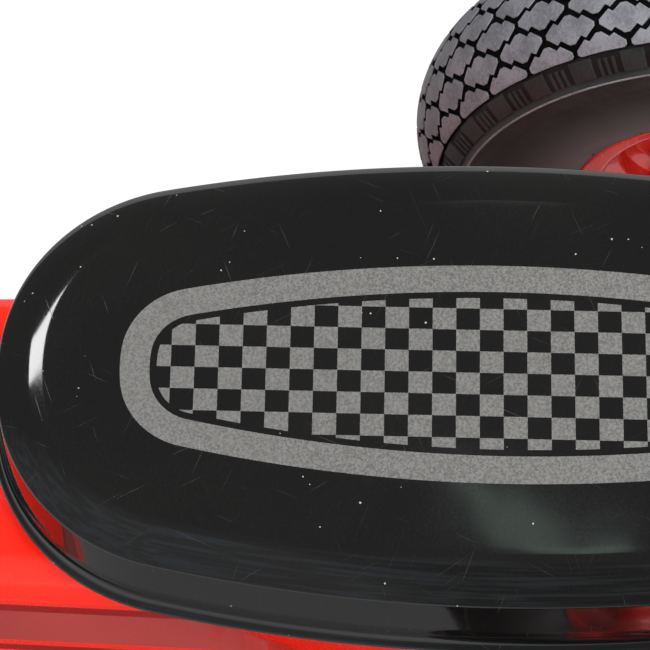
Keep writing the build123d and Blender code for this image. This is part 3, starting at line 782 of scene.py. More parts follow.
@dataclass(frozen=True)
class Outline:
    """The plan outline that the cover and the neck share, in millimetres."""

    half_length: float = 187.0
    half_width: float = 89.5
    side_bow: float = 28.2
    corner_radius: float = 74.0
    end_radius: float = 110.0

    def quarter(self, offset: float) -> np.ndarray:
        """The outline from the middle of the left side to the rear tip.

        Args:
            offset: How far it is moved out.

        Returns:
            Points about the outline's own centre.
        """
        side_radius = self.half_length**2 / (2 * self.side_bow)
        side = np.array([self.half_width - side_radius, 0.0])
        end = np.array([0.0, self.half_length - self.end_radius])
        to_side = side_radius - self.corner_radius
        to_end = self.end_radius - self.corner_radius
        span = float(np.linalg.norm(end - side))
        along = (to_side**2 - to_end**2 + span**2) / (2 * span)
        onward = (end - side) / span
        sideways = np.array([-onward[1], onward[0]])
        corner = side + onward * along + sideways * math.sqrt(to_side**2 - along**2)
        turn = math.atan2(*(corner - side)[::-1])
        last = math.atan2(*(corner - end)[::-1])
        arcs = (
            (side, side_radius, 0.0, turn, 26),
            (corner, self.corner_radius, turn, last, 40),
            (end, self.end_radius, last, math.pi / 2, 12),
        )
        points = []
        for centre, radius, start, stop, count in arcs:
            angles = np.linspace(start, stop, count, endpoint=False)
            points.append(centre + (radius + offset) * np.stack([np.cos(angles), np.sin(angles)], 1))
        points.append(np.array([[0.0, self.half_length + offset]]))
        return np.concatenate(points)

    def ring(self, offset: float, height: float, shrink: float = 0.0) -> np.ndarray:
        """The whole outline at one height.

        Args:
            offset: How far it is moved out, in millimetres.
            height: Its height over the hubs, in millimetres.
            shrink: How far it has closed towards the centre line, from 0 to 1.

        Returns:
            Points in metres, in the kart's frame.
        """
        quarter = self.quarter(offset)
        flat = np.concatenate(
            [
                quarter[:-1],
                (quarter * [-1, 1])[::-1][:-1],
                (quarter * [-1, -1])[:-1],
                (quarter * [1, -1])[::-1][:-1],
            ]
        )
        reach = self.half_length - self.half_width
        spine = np.stack([np.zeros(len(flat)), np.clip(flat[:, 1], -reach, reach)], 1)
        flat = flat * (1 - shrink) + spine * shrink
        return np.column_stack([flat * MM + [0.0, OUTLINE_Y], np.full(len(flat), height * MM)])


OUTLINE = Outline()


def ring_shell(parts: MeshParts, profile: Sequence[RingSize]) -> None:
    """Adds a shell whose rings all follow the plan outline.

    Args:
        parts: Where the shell goes.
        profile: Each ring's offset, height and shrink.
    """
    parts.add_rings([OUTLINE.ring(offset, height, shrink) for offset, height, shrink in profile])


@dataclass
class NoseCover:
    """The glossy cover with its rolled lip and its printed panel. Millimetres."""

    top: float = 176.9
    wall: float = 3.0
    foot: float = 2.0
    foot_step: float = 0.1
    brow: float = 1.0
    crown_across: float = 18.0
    crown_lean: float = 36.0
    brow_radius: float = 1.6
    foot_reach: float = 2.1
    foot_rise: float = 6.5
    lip_reach: float = 5.5
    lip_radius: float = 1.5
    inner_reach: float = 17.0
    inner_drop: float = 9.0
    inner_middle: float = 16.0
    print_inset: float = 45.0
    print_height: float = 0.07
    print_depth: float = 0.1
    band: float = 11.0
    band_gap: float = 2.6
    square: float = 8.8
    squares_across: int = 4
    squares_along: int = 18

    def build(self) -> None:
        """Builds the cover's pieces."""
        self.shell()
        self.print_panel()

    def profile(self) -> list[RingSize]:
        """The cover's outer side, from the inside of the lip to the middle of the top.

        Returns:
            Rings of offset, height and shrink.
        """
        low = DECK_TOP / MM
        rows = [(self.foot - self.wall, low, 0.0), (self.foot, low, 0.0)]
        # The rolled lip, then the hollow where the wall rises from it.
        middle = self.lip_reach - self.lip_radius
        for cosine, sine in arc(-90, 90, 13):
            rows.append((middle + self.lip_radius * cosine, low + self.lip_radius * (1 + sine), 0.0))
        foot, wall = low + 2 * self.lip_radius, self.foot - self.foot_step
        for cosine, sine in arc(84, 0, 10):
            rows.append((wall + self.foot_reach * (1 - cosine), foot + self.foot_rise * (1 - sine), 0.0))
        # The drafted wall, up to where the brow starts.
        lean = math.radians(self.crown_lean)
        crown_radius = self.crown_across / math.sin(lean)
        crown_drop = crown_radius * (1 - math.cos(lean))
        start = self.top - crown_drop - self.brow_radius * math.cos(lean)
        for height in np.linspace(foot + self.foot_rise + 1.0, start, 8):
            share = (height - foot) / (start - foot)
            rows.append((wall + (self.brow - wall) * share, height, 0.0))
        # The tight brow, the slow crown and the flat top.
        edge = self.brow - self.brow_radius * (1 - math.sin(lean))
        for cosine, sine in arc(4, 90 - self.crown_lean, 7):
            rows.append((self.brow - self.brow_radius * (1 - cosine), start + self.brow_radius * sine, 0.0))
        for cosine, sine in arc(self.crown_lean, 0, 26)[1:]:
            out = edge - self.crown_across + crown_radius * sine
            rows.append((out, self.top - crown_radius * (1 - cosine), 0.0))
        for shrink in (0.04, 0.1, 0.2, 0.35, 0.5, 0.65, 0.8, 0.92, 1.0):
            rows.append((edge - self.crown_across, self.top, shrink))
        return rows

    def shell(self) -> None:
        """Builds the tray with its lip, outside and inside."""
        parts = MeshParts()
        ring_shell(parts, self.profile())
        ceiling = self.top - self.wall
        inside = [(self.foot - self.wall, DECK_TOP / MM, 0.0), (-self.wall, ceiling - self.inner_drop, 0.0)]
        for turn in (20, 40, 60, 75, 90):
            inward = self.inner_reach * (1 - math.cos(math.radians(turn)))
            drop = self.inner_drop * (1 - math.sin(math.radians(turn)))
            inside.append((-self.wall - inward, ceiling - drop, 0.0))
        inside += [(-self.inner_middle, ceiling, shrink) for shrink in (0.5, 1.0)]
        ring_shell(parts, inside)
        parts.piece("cover_shell", [COVER_BLACK], "front_frame", ["nose_cover"], sharp=50.0)

    def print_panel(self) -> None:
        """Builds the grey print: a band along the outline and a chequered field inside it."""
        parts = MeshParts()
        height = self.top + self.print_height
        down = np.array([0.0, 0.0, self.print_depth * MM])
        outer = OUTLINE.ring(-self.print_inset, height)
        inner = OUTLINE.ring(-self.print_inset - self.band, height)
        parts.add_rings([outer - down, outer, inner, inner - down])
        field = OUTLINE.ring(-self.print_inset - self.band - self.band_gap, height)[:, :2] / MM
        size = self.square
        for column in range(-self.squares_across, self.squares_across):
            for row in range(-self.squares_along, self.squares_along):
                if (row + column) % 2:
                    continue
                x, y = column * size, OUTLINE_Y / MM + row * size
                cut = clip_to([(x, y), (x + size, y), (x + size, y + size), (x, y + size)], field)
                count = len(cut)
                if count < 3:
                    continue
                face = np.column_stack([np.array(cut) * MM, np.full(count, height * MM)])
                sides = [(i, (i + 1) % count, count + (i + 1) % count, count + i) for i in range(count)]
                parts.add(np.concatenate([face, face - down]), [tuple(range(count))] + sides)
        parts.piece("cover_print", [PRINT_GREY], "front_frame", sharp=30.0)


def clip_to(polygon: Sequence[tuple[float, float]], field: np.ndarray) -> list[tuple[float, float]]:
    """Cuts a flat polygon to the inside of a convex one.

    Args:
        polygon: The polygon to cut.
        field: The convex polygon, counterclockwise.

    Returns:
        What is left of the polygon.
    """
    left = [tuple(point) for point in polygon]
    for index in range(len(field)):
        start, end = field[index], field[(index + 1) % len(field)]
        edge = end - start
        kept = []
        for number, point in enumerate(left):
            after = left[(number + 1) % len(left)]
            here = edge[0] * (point[1] - start[1]) - edge[1] * (point[0] - start[0])
            there = edge[0] * (after[1] - start[1]) - edge[1] * (after[0] - start[0])
            if here >= 0:
                kept.append(point)
            if here * there < 0:
                share = here / (here - there)
                kept.append(tuple(point[axis] + (after[axis] - point[axis]) * share for axis in (0, 1)))
        left = kept
        if not left:
            return []
    return left


@dataclass
class NoseHull:
    """The red nose with its stepped sides, and the oval neck under the cover. Millimetres."""

    measured_ahead: float = 231.0
    taper: float = 0.03
    rear_ahead: float = 140.0
    tip_ahead: float = 356.6
    bow: float = 10.0
    corner: float = 45.0
    half_width: float = 91.0
    top: float = 112.0
    bonnet_start: float = 52.0
    bonnet_drop: float = 48.0
    bonnet_radius: float = 24.0
    rear_top: float = 60.0
    cut_slope: float = 0.51
    neck_inset: float = 12.0
    neck_bottom: float = 58.0
    wall: float = 3.0
    # Heights of the paler band, which is painted light, and of the two darker seam bands, which are painted
    # shade.
    satin: tuple[float, float] = (82.0, 95.4)
    upper_seam_painted_shade: tuple[float, float] = (95.4, 97.6)
    lower_seam_painted_shade: tuple[float, float] = (77.2, 79.6)

    def build(self) -> None:
        """Builds the nose and the neck as one piece."""
        parts = MeshParts()
        self.nose(parts)
        self.neck(parts)
        parts.piece("hull_shell", [HULL_RED, HULL_SATIN_PAINTED_LIGHT, HULL_SEAM_PAINTED_SHADE], "front_frame", ["nose_hull"], sharp=42.0)

    def section(self) -> tuple[np.ndarray, np.ndarray]:
        """Half of the nose's cross-section, rounded at its steps.

        Returns:
            The points of half width and height, and the HullPart of each stretch between them.
        """
        # Half width, height and the corner's radius.
        corners = (
            (0.0, self.top, 0.0), (30.0, 111.0, 20.0), (50.0, 108.0, 20.0), (60.0, 104.5, 10.0),
            (65.5, 101.0, 1.4), (66.2, 97.0, 0.7), (68.0, 95.5, 1.2),
            (74.6, 82.5, 1.4), (75.2, 78.5, 0.7), (77.0, 77.0, 1.4),
            (84.0, 58.0, 20.0), (89.0, 34.0, 30.0), (self.half_width, 6.0, 30.0), (89.5, -12.0, 10.0),
            (84.0, -25.0, 0.0),
        )
        line = rounded([corner[:2] for corner in corners], [corner[2] for corner in corners[1:-1]], 4)
        middle = (line[:-1, 1] + line[1:, 1]) / 2
        stretches = np.full(len(middle), int(HullPart.RED))
        # The band takes the paler red as painted light, and the seams take the darker red as painted shade.
        bands = (
            (self.satin, HullPart.SATIN),
            (self.upper_seam_painted_shade, HullPart.SEAM),
            (self.lower_seam_painted_shade, HullPart.SEAM),
        )
        for (low, high), part in bands:
            stretches[(middle > low) & (middle < high)] = part
        return line, stretches

    def nose(self, parts: MeshParts) -> None:
        """Adds the nose, as stations from its open rear end to its rounded front.

        Args:
            parts: Where it goes.
        """
        line, stretches = self.section()
        front = self.tip_ahead - self.bow
        corners = ((self.half_width, self.rear_ahead), (self.half_width, front), (0.0, self.tip_ahead))
        plan = rounded(corners, self.corner, 24)
        corners = (
            (0.0, self.top),
            (self.tip_ahead - self.bonnet_start, self.top),
            (self.tip_ahead, self.top - self.bonnet_drop),
            (self.tip_ahead + 0.01, -40.0),
        )
        side = rounded(corners, self.bonnet_radius, 10)
        straight = [(self.half_width, ahead) for ahead in np.linspace(self.rear_ahead, plan[1][1], 44)]
        bowed = [tuple(plan[-2] + (plan[-1] - plan[-2]) * share) for share in np.linspace(0, 1, 12)[1:]]
        rows = []
        for limit, ahead in straight + [tuple(point) for point in plan[2:-1]] + bowed:
            wide = line[:, 0] + self.taper * (self.measured_ahead - ahead) * (line[:, 0] > 0)
            top = float(np.interp(ahead, side[:, 0], side[:, 1]))
            cut = self.rear_top + (ahead - self.rear_ahead) * self.cut_slope
            wide = np.minimum(wide, limit)
            high = np.minimum(line[:, 1], min(top, cut))
            half = np.column_stack([wide, np.full(len(wide), AXLE_Y / MM - ahead), high])
            rows.append(np.concatenate([half[::-1] * [-1, 1, 1], half]) * MM)
        across = [*stretches[::-1], HullPart.RED, *stretches]
        parts.add(np.concatenate(rows), grid_faces(len(rows), len(rows[0])), across * (len(rows) - 1))

    def neck(self, parts: MeshParts) -> None:
        """Adds the oval neck with the deck that the cover sits on.

        Args:
            parts: Where it goes.
        """
        top = DECK_TOP / MM
        deck, foot = top - self.wall, self.neck_bottom
        outer = -self.neck_inset
        inner = outer - self.wall
        # The deck's underside and the neck's inside, its foot and outside, and the deck's rim and top.
        profile = (
            (inner, deck, 1.0), (inner, deck, 0.5), (inner, deck, 0.0), (inner, foot, 0.0),
            (outer - 0.5, foot - 0.05, 0.0), (outer, foot + 0.5, 0.0), (outer, deck - 3.0, 0.0),
            (outer + 0.5, deck - 1.2, 0.0), (outer + 1.6, deck - 0.2, 0.0), (outer + 3.0, deck, 0.0),
            (2.4, deck, 0.0), (3.0, deck + 0.6, 0.0), (3.0, top - 0.6, 0.0), (2.5, top - 0.1, 0.0),
            (-4.0, top - 0.1, 0.0), (-4.0, top - 0.1, 1.0),
        )
        ring_shell(parts, profile)


@dataclass
class Welds:
    """The weld beads round the ends of the frame's tubes. Millimetres."""

    bead: float = 2.3
    bury: float = 0.25
    ripple: float = 0.22
    pitch: float = 3.0
    spacing: float = 0.75
    sides: int = 10
    beam_corner: float = 5.0
    axle_corner: float = 3.0

    def build(self) -> None:
        """Builds the beads at the flange and at both yokes."""
        parts = MeshParts()
        low, high = (np.array(corner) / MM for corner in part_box("main_beam"))
        middle, half = (low + high) / 2, (high - low) / 2
        self.ring(parts, (middle[0], high[1], middle[2]), (0, 2, 1), half[[0, 2]], self.beam_corner, -1)
        low, high = (np.array(corner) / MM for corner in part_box("axle_beam"))
        middle, half = (low + high) / 2, (high - low) / 2
        for end, inward in ((low[0], 1), (high[0], -1)):
            self.ring(parts, (end, middle[1], middle[2]), (1, 2, 0), half[[1, 2]], self.axle_corner, inward)
        parts.piece("frame_welds", [WELD_BEAD], "front_frame", sharp=60.0)

    def ring(
        self,
        parts: MeshParts,
        centre: Point,
        axes: tuple[int, int, int],
        half: np.ndarray,
        corner: float,
        inward: int,
    ) -> None:
        """Adds one rippled bead round the end of a square tube.

        Args:
            parts: Where it goes.
            centre: The middle of the tube's end.
            axes: The axes across the tube, up it and along it.
            half: Half the tube's size on the first two axes.
            corner: The tube's corner radius.
            inward: The sign of the direction from the end back along the tube.
        """
        path, outward = [], []
        for quarter, sign in enumerate(((1, 1), (-1, 1), (-1, -1), (1, -1))):
            turn = quarter * math.pi / 2
            for angle in np.linspace(turn, turn + math.pi / 2, 7):
                way = np.array([math.cos(angle), math.sin(angle)])
                path.append(np.array(sign) * (half - corner) + corner * way)
                outward.append(way)
        points, ways = np.array(path + path[:1]), np.array(outward + outward[:1])
        run = np.concatenate([[0.0], np.cumsum(np.linalg.norm(np.diff(points, axis=0), axis=1))])
        count = int(run[-1] // self.spacing)
        along = np.linspace(0.0, run[-1], count, endpoint=False)
        ripples = round(run[-1] / self.pitch)
        size = self.bead * (1 + self.ripple * np.abs(np.sin(math.pi * ripples * along / run[-1])))
        rows = []
        for angle in np.linspace(0, FULL_TURN, self.sides, endpoint=False):
            row = np.zeros((count, 3))
            for axis in (0, 1):
                here, way = (np.interp(along, run, values[:, axis]) for values in (points, ways))
                row[:, axes[axis]] = here + way * (self.bury * self.bead + size * math.cos(angle))
            row[:, axes[2]] = inward * (self.bury * self.bead + size * math.sin(angle))
            rows.append((row + centre) * MM)
        parts.add_rings(rows + rows[:1])


@dataclass
class Wheel:
    """One front wheel: its tyre with the tread, and its rim's bolts. Millimetres."""

    side: Side
    radius: float = 130.0
    section: float = 42.0
    segments: int = 160
    groove_lean: float = 38.6
    shoulder_lean: float = 52.4
    ridge_leans: tuple[float, float] = (56.2, 57.4)
    bead_half: float = 27.2
    bead_reaches: tuple[float, float] = (61.3, 53.0)
    nubs: int = 18
    repeats: int = 32
    column: float = 10.4
    columns: int = 3
    gap: float = 2.2
    step: float = 1.15
    shaded_groove: float = 2.6
    foot_depth: float = 0.3
    top_depth: float = 0.08
    lozenge_half: float = 27.9
    panel_half: float = 5.6
    panel_start: float = 29.0
    rib_half: float = 0.75
    rib_pitch: float = 3.4
    rib_start: float = 30.5
    shoulder_end: float = 38.4
    bolt_circle: float = 28.0
    bolts_round: int = 4

    @property
    def body(self) -> str:
        """The CAD body that the wheel's pieces ride on."""
        return f"wheel_{self.side.word}"

    @property
    def middle(self) -> float:
        """The radius of the tyre section's own centre."""
        return self.radius - self.section

    def place(self, turn: np.ndarray, lean: np.ndarray, height: np.ndarray) -> np.ndarray:
        """Turns tyre coordinates into points.

        Args:
            turn: The angle about the axle, in radians.
            lean: The angle about the section's centre, from the crown outward, in radians.
            height: The distance from the section's centre.

        Returns:
            Points in metres, in the kart's frame.
        """
        reach = self.middle + height * np.cos(lean)
        across = height * np.sin(lean)
        x = (across * MM + HALF_TRACK) * self.side.value
        point = np.broadcast_arrays(x, AXLE_Y - reach * np.sin(turn) * MM, reach * np.cos(turn) * MM)
        return np.stack(point, -1)

    def build(self) -> None:
        """Builds the wheel's pieces."""
        self.carcass()
        self.tread()
        self.bolts()

    def wall_height(self, lean: float) -> float:
        """How far the carcass stands from the section's centre.

        Args:
            lean: Degrees from the crown.

        Returns:
            The height in millimetres.
        """
        knots = (
            (0, 39.4), (36, 39.4), (39, 40.0), (43, 40.7), (52.5, 40.7), (54.3, 41.0), (55.6, 41.9),
            (57, 41.9), (58.4, 41.0), (60.5, 40.5), (66, 40.9), (68, 40.6), (70, 41.0), (96, 41.9),
            (110, 41.9), (122, 41.5), (130, 41.2),
        )
        return float(np.interp(abs(lean), *zip(*knots)))

    def carcass_part(self, lean: float) -> CarcassPart:
        """Which finish the carcass has at a place.

        Args:
            lean: Degrees from the crown.

        Returns:
            The finish's place in the carcass's list.
        """
        if lean < self.groove_lean:
            return CarcassPart.SHADED_GROOVE
        if lean < self.shoulder_lean:
            return CarcassPart.SHOULDER
        # The ridge takes the painted highlight.
        low, high = self.ridge_leans
        return CarcassPart.RIDGE if low < lean < high else CarcassPart.WALL

    def carcass(self) -> None:
        """Builds the smooth tyre under the tread, with its ridge and the moulding nubs."""
        # Wide steps on the wall, fine ones at the shoulder, and wide ones under the tread, in degrees.
        steps = ((-128.6, -70, 2.5), (-70, -36, 0.7), (-36, 37, 4.0))
        leans = np.concatenate([np.arange(*step) for step in steps])
        leans = np.unique(np.round(np.concatenate([leans, -leans]), 3))
        turns = np.linspace(0, FULL_TURN, self.segments, endpoint=False)
        rows = [self.place(turns, np.radians(lean), self.wall_height(lean)) for lean in leans]
        ends = []
        for sign in (-1, 1):
            x = np.full(self.segments, (HALF_TRACK + sign * self.bead_half * MM) * self.side.value)
            for reach in self.bead_reaches:
                ends.append(np.stack([x, AXLE_Y - reach * np.sin(turns) * MM, reach * np.cos(turns) * MM], 1))
        middles = np.abs(leans[:-1] + leans[1:]) / 2
        beads = [CarcassPart.WALL] * 2
        stretches = beads + [self.carcass_part(lean) for lean in middles] + beads
        slots = [part for part in stretches for _ in range(self.segments)]
        parts = MeshParts()
        parts.add_rings([ends[1], ends[0], *rows, ends[2], ends[3]], slots)
        for number in range(self.nubs):
            turn = math.radians(7 + number * 20 + (number % 3) * 4)
            lean = math.radians(104 + (number * 7) % 17)
            for sign in (-1, 1):
                self.nub(parts, turn, sign * lean)
        finishes = [WALL_RUBBER, GROOVE_PAINTED_SHADE, RIDGE_PAINTED_HIGHLIGHT, SHOULDER_RUBBER]
        word = self.side.word
        parts.piece(f"tyre_carcass_{word}", finishes, self.body, [f"tyre_{word}"], sharp=35.0)

    def nub(self, parts: MeshParts, turn: float, lean: float) -> None:
        """Adds one small moulding nub on the sidewall.

        Args:
            parts: Where it goes.
            turn: Its angle about the axle.
            lean: Its angle about the section's centre.
        """
        count = 8
        around = np.linspace(0, FULL_TURN, count, endpoint=False)
        rings = []
        for height, size in ((41.0, 0.9), (41.7, 0.8), (41.95, 0.4)):
            reach = self.middle + height * math.cos(lean)
            turns, leans = turn + size * np.cos(around) / reach, lean + size * np.sin(around) / height
            rings.append(self.place(turns, leans, height))
        last = (len(rings) - 1) * count
        faces = grid_faces(len(rings), count, close_columns=True) + [tuple(range(last, last + count))]
        # The nub takes the near-black finish, so it shows as a painted shade dot.
        parts.add(np.concatenate(rings), faces, CarcassPart.SHADED_GROOVE)

    def lozenge(self) -> np.ndarray:
        """The stepped outline of one tread block, as lengths around and across the tyre.

        Returns:
            The outline's points.
        """
        long = math.pi * self.radius / self.repeats
        wide = self.column
        edge = math.hypot(long, wide)
        half = self.gap / 2

        def across(along: float, out: float) -> float:
            """Where the block's side is, at a place along it."""
            return (long * wide + out * edge - along * wide) / long

        blunt, near, far, flank = 1.9, 0.5, 0.6, 1.3
        quarter = [
            (long - half, min(across(long - half, self.step - half), blunt)),
            (long / 2 + near, across(long / 2 + near, self.step - half)),
            (long / 2 - far, across(long / 2 - far, -self.step - half)),
            (flank, across(flank, -self.step - half)),
        ]
        points = list(quarter)
        points += [(-a, b) for a, b in quarter[::-1]]
        points += [(-a, -b) for a, b in quarter]
        points += [(a, -b) for a, b in quarter[::-1]]
        return np.array(points)

    def block(self, parts: MeshParts, outline: np.ndarray, turn: float, shift: float) -> None:
        """Adds one raised block that follows the tyre's curve.

        Args:
            parts: Where it goes.
            outline: The block's outline about its own centre.
            turn: Its centre's angle about the axle.
            shift: Its centre's distance across the tyre.
        """
        longest = 3.2
        dense = []
        for start, end in zip(outline, np.roll(outline, -1, axis=0)):
            pieces = max(1, int(np.linalg.norm(end - start) // longest) + 1)
            dense.extend(start + (end - start) * step / pieces for step in range(pieces))
        ring = np.array(dense)
        centre = ring.mean(0)
        away = ring - centre
        size = np.maximum(np.linalg.norm(away, axis=1, keepdims=True), 0.1)
        foot = self.section - self.shaded_groove - self.foot_depth
        top = self.section - self.top_depth
        layers = []
        # Each layer's scale about the centre, how far it is moved out, and its height.
        for scale, out, height in (
            (1.0, 0.35, foot), (1.0, 0.0, top - 0.45), (1.0, -0.3, top), (0.62, 0.0, top), (0.28, 0.0, top),
        ):
            flat = centre + away * scale + away / size * out
            turns, leans = turn + flat[:, 0] / self.radius, (shift + flat[:, 1]) / self.section
            layers.append(self.place(turns, leans, height))
        count = len(ring)
        last = (len(layers) - 1) * count
        faces = grid_faces(len(layers), count, close_columns=True) + [tuple(range(last, last + count))]
        # The block's sides take the near-black finish as painted shade.
        slots = [TreadPart.SIDE] * count + [TreadPart.BLOCK] * (len(faces) - count)
        parts.add(np.concatenate(layers), faces, slots)

    def tread(self) -> None:
        """Builds the lozenge tread, its shoulder panels and the ribs between them."""
        parts = MeshParts()
        lozenge = self.lozenge()
        pitch = FULL_TURN / self.repeats
        rim = self.lozenge_half - (self.columns - 0.5) * self.column
        cut = clip_to(lozenge[::-1], np.array([(-20, -20), (20, -20), (20, rim), (-20, rim)]))
        outlines = {-self.columns: np.array(cut) * [1, -1], self.columns - 1: np.array(cut)}
        for column in range(-self.columns, self.columns):
            shift = (column + 0.5) * self.column
            for number in range(self.repeats):
                turn = (number + 0.5 * (column % 2)) * pitch
                self.block(parts, outlines.get(column, lozenge), turn, shift)
        for sign, offset in ((1, 0.5), (-1, 0.0)):
            for number in range(self.repeats):
                turn = (number + offset) * pitch
                self.panel(parts, turn, sign, self.panel_half, self.panel_start)
                for place in (-self.rib_pitch, 0.0, self.rib_pitch):
                    turned = turn + 0.5 * pitch + place / self.radius
                    self.panel(parts, turned, sign, self.rib_half, self.rib_start)
        finishes = [TREAD_RUBBER_AND_SHEEN, WALL_RUBBER, GROOVE_PAINTED_SHADE]
        parts.piece(f"tyre_tread_{self.side.word}", finishes, self.body, sharp=30.0)

    def panel(self, parts: MeshParts, turn: float, sign: int, half: float, start: float) -> None:
        """Adds a shoulder panel or a rib.

        Args:
            parts: Where it goes.
            turn: Its angle about the axle.
            sign: Which shoulder it is on.
            half: Half its length around the tyre.
            start: Where it starts across the tyre.
        """
        count = 4
        near, far = start / self.section * sign, self.shoulder_end / self.section * sign
        rings = []
        for out, height in ((0.25, 40.2), (0.0, 41.2), (-0.25, 41.5)):
            around = np.array([-half - out, half + out]) / self.radius
            spread = sign * out / self.section
            leans = np.linspace(near - spread, far + spread, count)
            rows = np.array([self.place(turn + around, lean, height) for lean in leans])
            rings.append(np.concatenate([rows[:, 0], rows[::-1, 1]]))
        first, last = 4 * count, 6 * count - 1
        faces = grid_faces(len(rings), 2 * count, close_columns=True)
        faces += [(first + i, first + i + 1, last - i - 1, last - i) for i in range(count - 1)]
        parts.add(np.concatenate(rings), faces, TreadPart.PANEL)

    def bolts(self) -> None:
        """Builds the bolts and nuts that hold the rim's halves together."""
        parts = MeshParts()
        hexagon, circle = (np.linspace(0, FULL_TURN, count, endpoint=False) for count in (6, 20))
        for number in range(self.bolts_round):
            angle = math.radians(45 + 90 * number)
            y = AXLE_Y + self.bolt_circle * MM * math.cos(angle)
            z = self.bolt_circle * MM * math.sin(angle)
            # Outside is the bolt's head and inside its nut, each on a washer: radius and distance out.
            for sign, length in ((1, 4.0), (-1, 5.0)):
                end = 3.2 + length
                washer = ((0.2, 2.0), (6.2, 2.0), (6.4, 2.2), (6.4, 3.0), (6.2, 3.2), (3.0, 3.2))
                head = ((3.0, 3.2), (5.1, 3.2), (5.4, 3.6), (5.4, end - 0.5), (4.8, end), (0.1, end))
                for turns, rows in ((circle + angle, washer), (hexagon + angle, head)):
                    rings = []
                    for reach, out in rows:
                        x = np.full(len(turns), (HALF_TRACK + sign * out * MM) * self.side.value)
                        ring = [x, y + reach * MM * np.cos(turns), z + reach * MM * np.sin(turns)]
                        rings.append(np.stack(ring, 1))
                    parts.add_rings(rings)
        parts.piece(f"rim_bolts_{self.side.word}", [ZINC], self.body, sharp=25.0)


@dataclass
class Chassis:
    """The CAD nodes that keep their shape and only take a finish."""

    sharp: float = 28.0

    def build(self) -> None:
        """Gives every CAD node that still shows its finish."""
        for name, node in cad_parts.items():
            finish = CAD_FINISHES.get(name.removesuffix("_left").removesuffix("_right"))
            if finish is None:
                continue
            node.data.materials.clear()
            node.data.materials.append(finish.material())
            node.data.set_sharp_from_angle(angle=math.radians(self.sharp))
            LOG.info("%s takes %s", name, finish.name)


@dataclass(frozen=True)
class Camera:
    """The camera, where the photograph was taken from. Degrees, metres and a lens in millimetres."""

    azimuth: float = 90.173
    elevation: float = 64.135
    roll: float = 1.061
    distance: float = 1.3004
    target: Point = (0.0, -0.4279, 0.2147)
    lens: float = 199.8

    def build(self) -> None:
        """Places the camera and makes it the scene's."""
        turn, rise, roll = (math.radians(value) for value in (self.azimuth, self.elevation, self.roll))
        back = Vector((math.sin(turn) * math.cos(rise), -math.cos(turn) * math.cos(rise), math.sin(rise)))
        right = (-back).cross(Vector((0, 0, 1))).normalized()
        up = right.cross(-back)
        rolled_right = math.cos(roll) * right + math.sin(roll) * up
        rolled_up = -math.sin(roll) * right + math.cos(roll) * up
        basis = Matrix((rolled_right, rolled_up, back)).transposed().to_4x4()
        data = bpy.data.cameras.new("camera")
        data.sensor_width = 36.0
        data.lens = self.lens
        data.clip_start = 0.05
        data.clip_end = 50.0
        camera = placed("camera", data)
        basis.translation = Vector(self.target) + back * self.distance
        camera.matrix_world = basis
        bpy.context.scene.camera = camera


def seen(net: Net) -> Socket:
    """A value that is 1 for rays that show the background in the picture, in a mirror or through glass.

    Args:
        net: The node tree it goes in.

    Returns:
        The value.
    """
    path = net.add("ShaderNodeLightPath").outputs
    straight = net.maths("MAXIMUM", path["Is Camera Ray"], path["Is Glossy Ray"])
    return net.maths("MAXIMUM", straight, path["Is Transmission Ray"])


@dataclass(frozen=True)
class Ambient:
    """The white background and the soft light from all round, which is stronger from the rear."""

    front: float = 0.08
    rear: float = 0.62

    def build(self) -> None:
        """Makes the world."""
        world = bpy.data.worlds.new("studio")
        net = emptied(world)
        way = net.add("ShaderNodeTexCoord").outputs["Generated"]
        parts = net.add("ShaderNodeSeparateXYZ", {"Vector": way})
        ambient = net.span(parts.outputs["Y"], -1.0, 1.0, self.front, self.rear)
        strength = net.span(seen(net), 0.0, 1.0, ambient, 1.0)
        light = net.add("ShaderNodeBackground", {"Color": WHITE, "Strength": strength})
        net.add("ShaderNodeOutputWorld", {"Surface": light.outputs[0]})
        bpy.context.scene.world = world


@dataclass(frozen=True)
class Floor:
    """The pale floor, which keeps the object's shadow. Metres, and shares of white."""

    half: float = 14.0
    middle: Point = (0.1, -0.45, GROUND)
    lit: float = 0.55
    shown: float = 0.9
    own_light: float = 0.74
    plain_from: float = 0.9
    plain_to: float = 2.4
    # How bright the floor shows in gloss close to the object, and where that painted shade fades out.
    mirrored: float = 0.26
    painted_shade_from: float = 0.19
    painted_shade_to: float = 0.44

    def build(self) -> None:
        """Lays the floor."""
        mesh = bpy.data.meshes.new("floor")
        corners = ((-1, -1), (1, -1), (1, 1), (-1, 1))
        mesh.from_pydata([(x * self.half, y * self.half, GROUND) for x, y in corners], [], [(0, 1, 2, 3)])
        placed("floor", mesh)
        material = bpy.data.materials.new("studio_floor")
        net = emptied(material)
        pale = net.blend(seen(net), (self.lit,) * 3 + (1.0,), (self.shown,) * 3 + (1.0,))
        matt = net.add("ShaderNodeBsdfDiffuse", {"Color": pale})
        inputs = {0: net.add("ShaderNodeTexCoord").outputs["Object"], 1: self.middle}
        away = net.add("ShaderNodeVectorMath", inputs, operation="DISTANCE").outputs["Value"]
        # Near the object the floor is painted darker for glossy rays only, a painted shade that the glossy
        # paint mirrors.
        shade = net.span(away, self.painted_shade_from, self.painted_shade_to, self.mirrored, 1.0)
        glossy = net.add("ShaderNodeLightPath").outputs["Is Glossy Ray"]
        strength = net.maths("ADD", net.maths("MULTIPLY", glossy, shade), net.maths("SUBTRACT", 1.0, glossy))
        white = net.add("ShaderNodeEmission", {"Color": WHITE, "Strength": strength})
        own = net.span(away, self.plain_from, self.plain_to, self.own_light, 1.0)
        share = net.maths("MAXIMUM", net.maths("MULTIPLY", seen(net), own), glossy)
        both = net.add("ShaderNodeMixShader", {0: share, 1: matt.outputs[0], 2: white.outputs[0]})
        net.add("ShaderNodeOutputMaterial", {"Surface": both.outputs[0]})
        mesh.materials.append(material)


